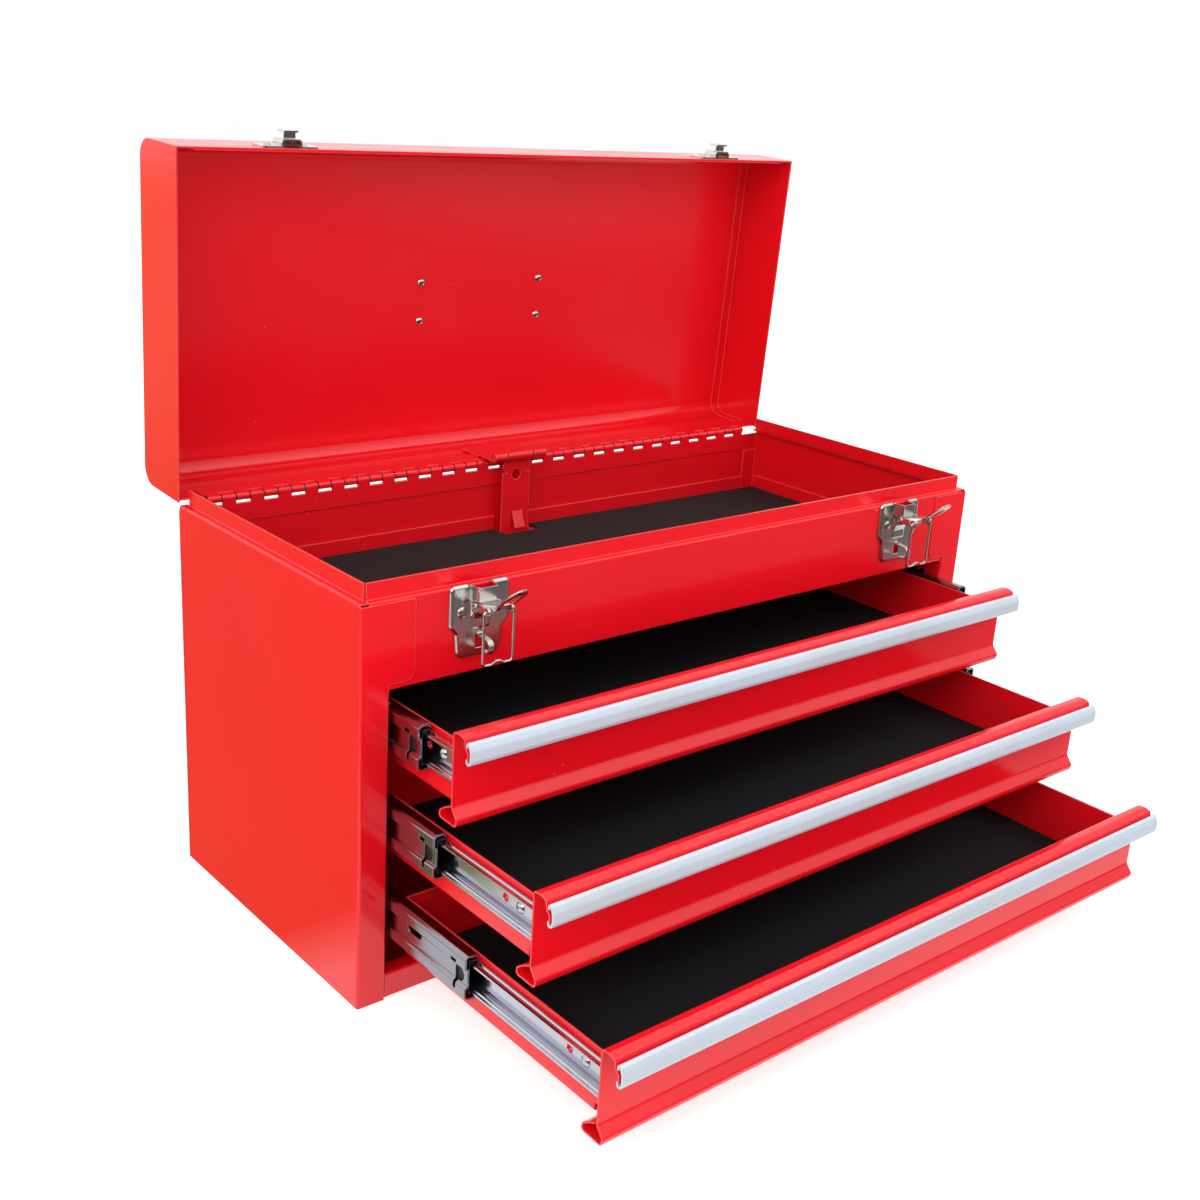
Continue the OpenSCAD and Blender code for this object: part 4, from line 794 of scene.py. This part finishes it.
class TOOLBOX_OT_painted_sheets(Builder, bpy.types.Operator):
    """Powder coats the cabinet, the lid, the hinge and the drawers"""
    bl_idname = "toolbox.painted_sheets"
    bl_label = "Painted sheets"

    def build(self):
        for name in PAINTED:
            dress(name, "hinge_paint_gap_shade" if name.startswith("hinge") else "red_paint")
        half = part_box("drawer_front_top")[1][0] / MM
        for drawer in DRAWERS:
            dress(f"drawer_body_{drawer}", "red_paint")
            ring = front_ring() + drawer_place(drawer)
            piece(f"front_{drawer}", *swept(ring, np.linspace(-half, half, 40)), f"drawer_{drawer}", "red_paint",
                  "red_paint", (f"drawer_front_{drawer}",), round_off=0.22)


class TOOLBOX_OT_slides(Builder, bpy.types.Operator):
    """Plates the slides, their rivets and cages"""
    bl_idname = "toolbox.slides"
    bl_label = "Drawer slides"

    def build(self):
        dress("slide_rivets", "zinc_slide")
        for drawer in DRAWERS:
            # Outer and middle members get the darkened zinc, which is painted shade
            dress(f"slide_outer_{drawer}", "zinc_painted_shade")
            dress(f"slide_mid_{drawer}", "zinc_painted_shade")
            dress(f"slide_inner_{drawer}", "zinc_slide")
            dress(f"drawer_rivets_{drawer}", "zinc_slide")
            dress(f"ball_cage_{drawer}", "cage_plastic")


class TOOLBOX_OT_latches(Builder, bpy.types.Operator):
    """Finishes the two draw latches"""
    bl_idname = "toolbox.latches"
    bl_label = "Draw latches"

    def build(self):
        fixed = []
        for side, sign in SIDES.items():
            dress(f"strike_{side}", "chrome")
            low, high = box_mm(f"latch_plate_{side}")
            place = np.array([(low[0] + high[0]) / 2 - sign * PLATE_IN, high[1], high[2]])
            pin = place + (sign * PLATE_IN, PIN_Y, PIN_Z)
            eye = swing(np.array([[0, EYE_Y, EYE_Z]]), LEVER_UP, pin)[0]
            plate(side, place)
            fixed += fasteners(place, pin)
            lever(side, pin, eye)
            bail(side, eye)
        piece("latch_rivets_domed", *joined(*fixed), "cabinet", **STEEL, replaces=("latch_rivets",))
        dress("strike_rivets", "nickel")


class TOOLBOX_OT_trims(Builder, bpy.types.Operator):
    """Finishes the drawers' aluminium trims"""
    bl_idname = "toolbox.trims"
    bl_label = "Drawer trims"

    def build(self):
        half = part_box("drawer_trim_top")[1][0] / MM
        for drawer in DRAWERS:
            ring = trim_ring() + drawer_place(drawer)
            piece(f"trim_{drawer}", *swept(ring, np.linspace(-half, half, 40)), f"drawer_{drawer}",
                  "aluminium_trim", "aluminium", (f"drawer_trim_{drawer}",), round_off=0.18)


class TOOLBOX_OT_handle(Builder, bpy.types.Operator):
    """Finishes the carry handle and the lock bar's pin"""
    bl_idname = "toolbox.handle"
    bl_label = "Carry handle"

    def build(self):
        for name in ("handle_brackets", "carry_handle", "lock_bracket_pin"):
            dress(name, "zinc_rod")
        dress("handle_rivets", "chrome")
        piece("grip_moulded", *grip(*box_mm("handle_grip")), "handle", "grip_rubber", "grip_rubber",
              ("handle_grip",), angle=60)


class TOOLBOX_OT_liners(Builder, bpy.types.Operator):
    """Finishes the foam liners"""
    bl_idname = "toolbox.liners"
    bl_label = "Foam liners"

    def build(self):
        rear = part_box("tray_liner")[1][1] / MM
        slot = ((TRAY_SLOT_X[0], TRAY_SLOT_Y), (TRAY_SLOT_X[1], rear))
        liner("tray_mat", "cabinet", "tray_liner", "tray_foam", slot)
        for drawer in DRAWERS:
            liner(f"drawer_mat_{drawer}", f"drawer_{drawer}", f"drawer_liner_{drawer}", "drawer_foam")


# ---------------------------------------------------------------- camera, floor and light
def camera_matrix():
    """Looks along yaw and pitch, then rolls about that line: the columns are right, up and back."""
    yaw, pitch, roll = (math.radians(a) for a in (CAMERA_YAW, CAMERA_PITCH, CAMERA_ROLL))
    ahead = Vector((math.sin(yaw) * math.cos(pitch), math.cos(yaw) * math.cos(pitch), -math.sin(pitch)))
    right = Vector((math.cos(yaw), -math.sin(yaw), 0))
    up = right.cross(ahead)
    right, up = (right * math.cos(roll) + up * math.sin(roll), up * math.cos(roll) - right * math.sin(roll))
    made = Matrix((right, up, -ahead)).transposed().to_4x4()
    made.translation = CAMERA_AT
    return made


def area_lamp(name, at, towards, size, power, rgb):
    """A square or oblong lamp at a place, turned towards another."""
    lamp = bpy.data.lights.new(name, "AREA")
    lamp.shape, lamp.size, lamp.size_y = "RECTANGLE", size[0], size[1]
    lamp.energy, lamp.color = power, rgb
    made = bpy.data.objects.new(name, lamp)
    made.location = at
    made.rotation_euler = (Vector(towards) - Vector(at)).to_track_quat("-Z", "Y").to_euler()
    bpy.context.scene.collection.objects.link(made)


def mixed(tree, mask, a, b):
    """The number a where mask is 0 and b where it is 1."""
    made = node(tree, "ShaderNodeMix", _data_type="FLOAT")
    for socket, value in zip(made.inputs[0:1] + made.inputs[2:4], (mask, a, b)):
        if isinstance(value, (int, float)):
            socket.default_value = value
        else:
            tree.links.new(value, socket)
    return made.outputs[0]


def floor_reflection(tree):
    """Strength and warmth of the table in a reflection. It is white close round the box and past it, its front edge
    lies just before the open drawers, the studio beyond is dim but for a pale card far out at the front right, and
    the floor at the left is warm and half lit."""
    place = node(tree, "ShaderNodeTexCoord").outputs["Object"]
    split = node(tree, "ShaderNodeSeparateXYZ")
    tree.links.new(place, split.inputs[0])
    x, y = split.outputs[0], split.outputs[1]
    table = ramp(tree, y, -0.375, -0.345)
    left = math_node(tree, "MULTIPLY", ramp(tree, x, -0.26, -0.20, 1.0, 0.0), ramp(tree, y, -0.07, -0.01))
    white = mixed(tree, left, 0.95, ramp(tree, y, 0.7, 1.6, 0.26, 0.55))
    dim = ramp(tree, y, -1.0, -0.65, 0.04, 0.17)
    away = node(tree, "ShaderNodeVectorMath", _operation="DISTANCE")
    tree.links.new(place, away.inputs[0])
    away.inputs[1].default_value = (1.75, -2.15, 0)
    card = ramp(tree, away.outputs["Value"], 0.10, 0.85, 0.55, 0.0)
    return mixed(tree, table, math_node(tree, "MAXIMUM", dim, card), white), left


def studio_reflection(tree):
    """How bright the studio looks in a reflection: white behind and above the box, dim in front of it."""
    place = node(tree, "ShaderNodeTexCoord").outputs["Generated"]
    split = node(tree, "ShaderNodeSeparateXYZ")
    tree.links.new(place, split.inputs[0])
    rear = ramp(tree, split.outputs[1], -0.35, 0.45, 0.0, 0.9)
    above = ramp(tree, split.outputs[2], 0.25, 0.75, 0.0, 0.9)
    return math_node(tree, "ADD", math_node(tree, "MAXIMUM", rear, above), 0.10)


def add_camera(focal_length):
    lens = bpy.data.cameras.new("camera")
    lens.lens, lens.sensor_width, lens.clip_end = focal_length, 36.0, 50.0
    camera = bpy.data.objects.new("camera", lens)
    camera.matrix_world = camera_matrix()
    bpy.context.scene.collection.objects.link(camera)
    bpy.context.scene.camera = camera


def floor_material():
    """A matt pale floor that glows a little towards the camera. In reflections it looks as floor_reflection says."""
    material = bpy.data.materials.new("pale floor")
    material.use_nodes = True
    tree = material.node_tree
    shader = tree.nodes["Principled BSDF"]
    shader.inputs["Base Color"].default_value = (0.86, 0.86, 0.86, 1)
    shader.inputs["Roughness"].default_value = 0.9
    shader.inputs["Specular IOR Level"].default_value = 0.0
    glow = node(tree, "ShaderNodeEmission", Color=(1, 1, 1, 1))
    path = tree.nodes.new("ShaderNodeLightPath").outputs
    tree.links.new(math_node(tree, "MULTIPLY", path["Is Camera Ray"], 0.6), glow.inputs["Strength"])
    both = tree.nodes.new("ShaderNodeAddShader")
    tree.links.new(shader.outputs[0], both.inputs[0])
    tree.links.new(glow.outputs[0], both.inputs[1])
    mirrored = node(tree, "ShaderNodeEmission")
    strength, warm = floor_reflection(tree)
    tint = node(tree, "ShaderNodeMix", _data_type="RGBA")
    tree.links.new(warm, tint.inputs["Factor"])
    tint.inputs[6].default_value, tint.inputs[7].default_value = (1, 1, 1, 1), (1.0, 0.93, 0.44, 1)
    tree.links.new(tint.outputs[2], mirrored.inputs["Color"])
    tree.links.new(strength, mirrored.inputs["Strength"])
    pick = tree.nodes.new("ShaderNodeMixShader")
    tree.links.new(path["Is Glossy Ray"], pick.inputs[0])
    tree.links.new(both.outputs[0], pick.inputs[1])
    tree.links.new(mirrored.outputs[0], pick.inputs[2])
    tree.links.new(pick.outputs[0], tree.nodes["Material Output"].inputs["Surface"])
    return material


def add_floor():
    """A round floor, a hair below the box's foot."""
    radius, drop = 8, 0.0002
    turns = np.linspace(0, 2 * math.pi, 96, endpoint=False)
    rim = np.stack([radius * np.cos(turns), radius * np.sin(turns), 0 * turns - drop], axis=1)
    mesh = bpy.data.meshes.new("floor")
    mesh.from_pydata(rim.tolist(), [], [list(range(len(turns)))])
    mesh.materials.append(floor_material())
    floor = bpy.data.objects.new("floor", mesh)
    bpy.context.scene.collection.objects.link(floor)


def add_world(sky):
    """White to the camera, an even light on the box, and the studio in reflections."""
    world = bpy.data.worlds.new("studio")
    world.use_nodes = True
    bpy.context.scene.world = world
    tree = world.node_tree
    path = tree.nodes.new("ShaderNodeLightPath").outputs
    seen = math_node(tree, "MAXIMUM", path["Is Camera Ray"], path["Is Transmission Ray"])
    lit = math_node(tree, "MAXIMUM", seen, sky)
    strength = mixed(tree, path["Is Glossy Ray"], lit, studio_reflection(tree))
    background = tree.nodes["Background"]
    background.inputs["Color"].default_value = (1, 1, 1, 1)
    tree.links.new(strength, background.inputs["Strength"])


class TOOLBOX_OT_stage(Builder, bpy.types.Operator):
    """Sets the camera, the pale floor, the lamps and the even light"""
    bl_idname = "toolbox.stage"
    bl_label = "Stage"

    def build(self):
        stage = settings().stage
        add_camera(stage.lens)
        add_floor()
        add_world(stage.sky)
        area_lamp("key", (-1.9, -0.9, 1.5), (0, 0, 0.25), (1.6, 1.2), stage.key, (1.0, 0.90, 0.74))
        area_lamp("fill", (1.45, -1.5, 1.5), (0, 0, 0.15), (2.8, 2.8), stage.fill, (1.0, 0.93, 0.98))
        bpy.context.scene.view_settings.view_transform = "Standard"


class TOOLBOX_PT_panel(bpy.types.Panel):
    """Lists the operators in the order in which they run"""
    bl_label = "Tool box"
    bl_idname = "TOOLBOX_PT_panel"
    bl_space_type = "VIEW_3D"
    bl_region_type = "UI"
    bl_category = "Tool box"

    def draw(self, context):
        for operator in OPERATORS:
            self.layout.operator(operator.bl_idname)


OPERATORS = (TOOLBOX_OT_stage, TOOLBOX_OT_painted_sheets, TOOLBOX_OT_slides, TOOLBOX_OT_latches, TOOLBOX_OT_trims,
             TOOLBOX_OT_handle, TOOLBOX_OT_liners)
CLASSES = (PaintSettings, MetalSettings, LinerSettings, StageSettings, ToolboxSettings, *OPERATORS, TOOLBOX_PT_panel)


def register():
    for cls in CLASSES:
        bpy.utils.register_class(cls)
    bpy.types.Scene.toolbox = bpy.props.PointerProperty(type=ToolboxSettings)


def unregister():
    del bpy.types.Scene.toolbox
    for cls in reversed(CLASSES):
        bpy.utils.unregister_class(cls)


def main():
    """Runs the operators in their order."""
    register()
    for operator in OPERATORS:
        family, name = operator.bl_idname.split(".")
        getattr(getattr(bpy.ops, family), name)()


if __name__ == "__main__":
    main()
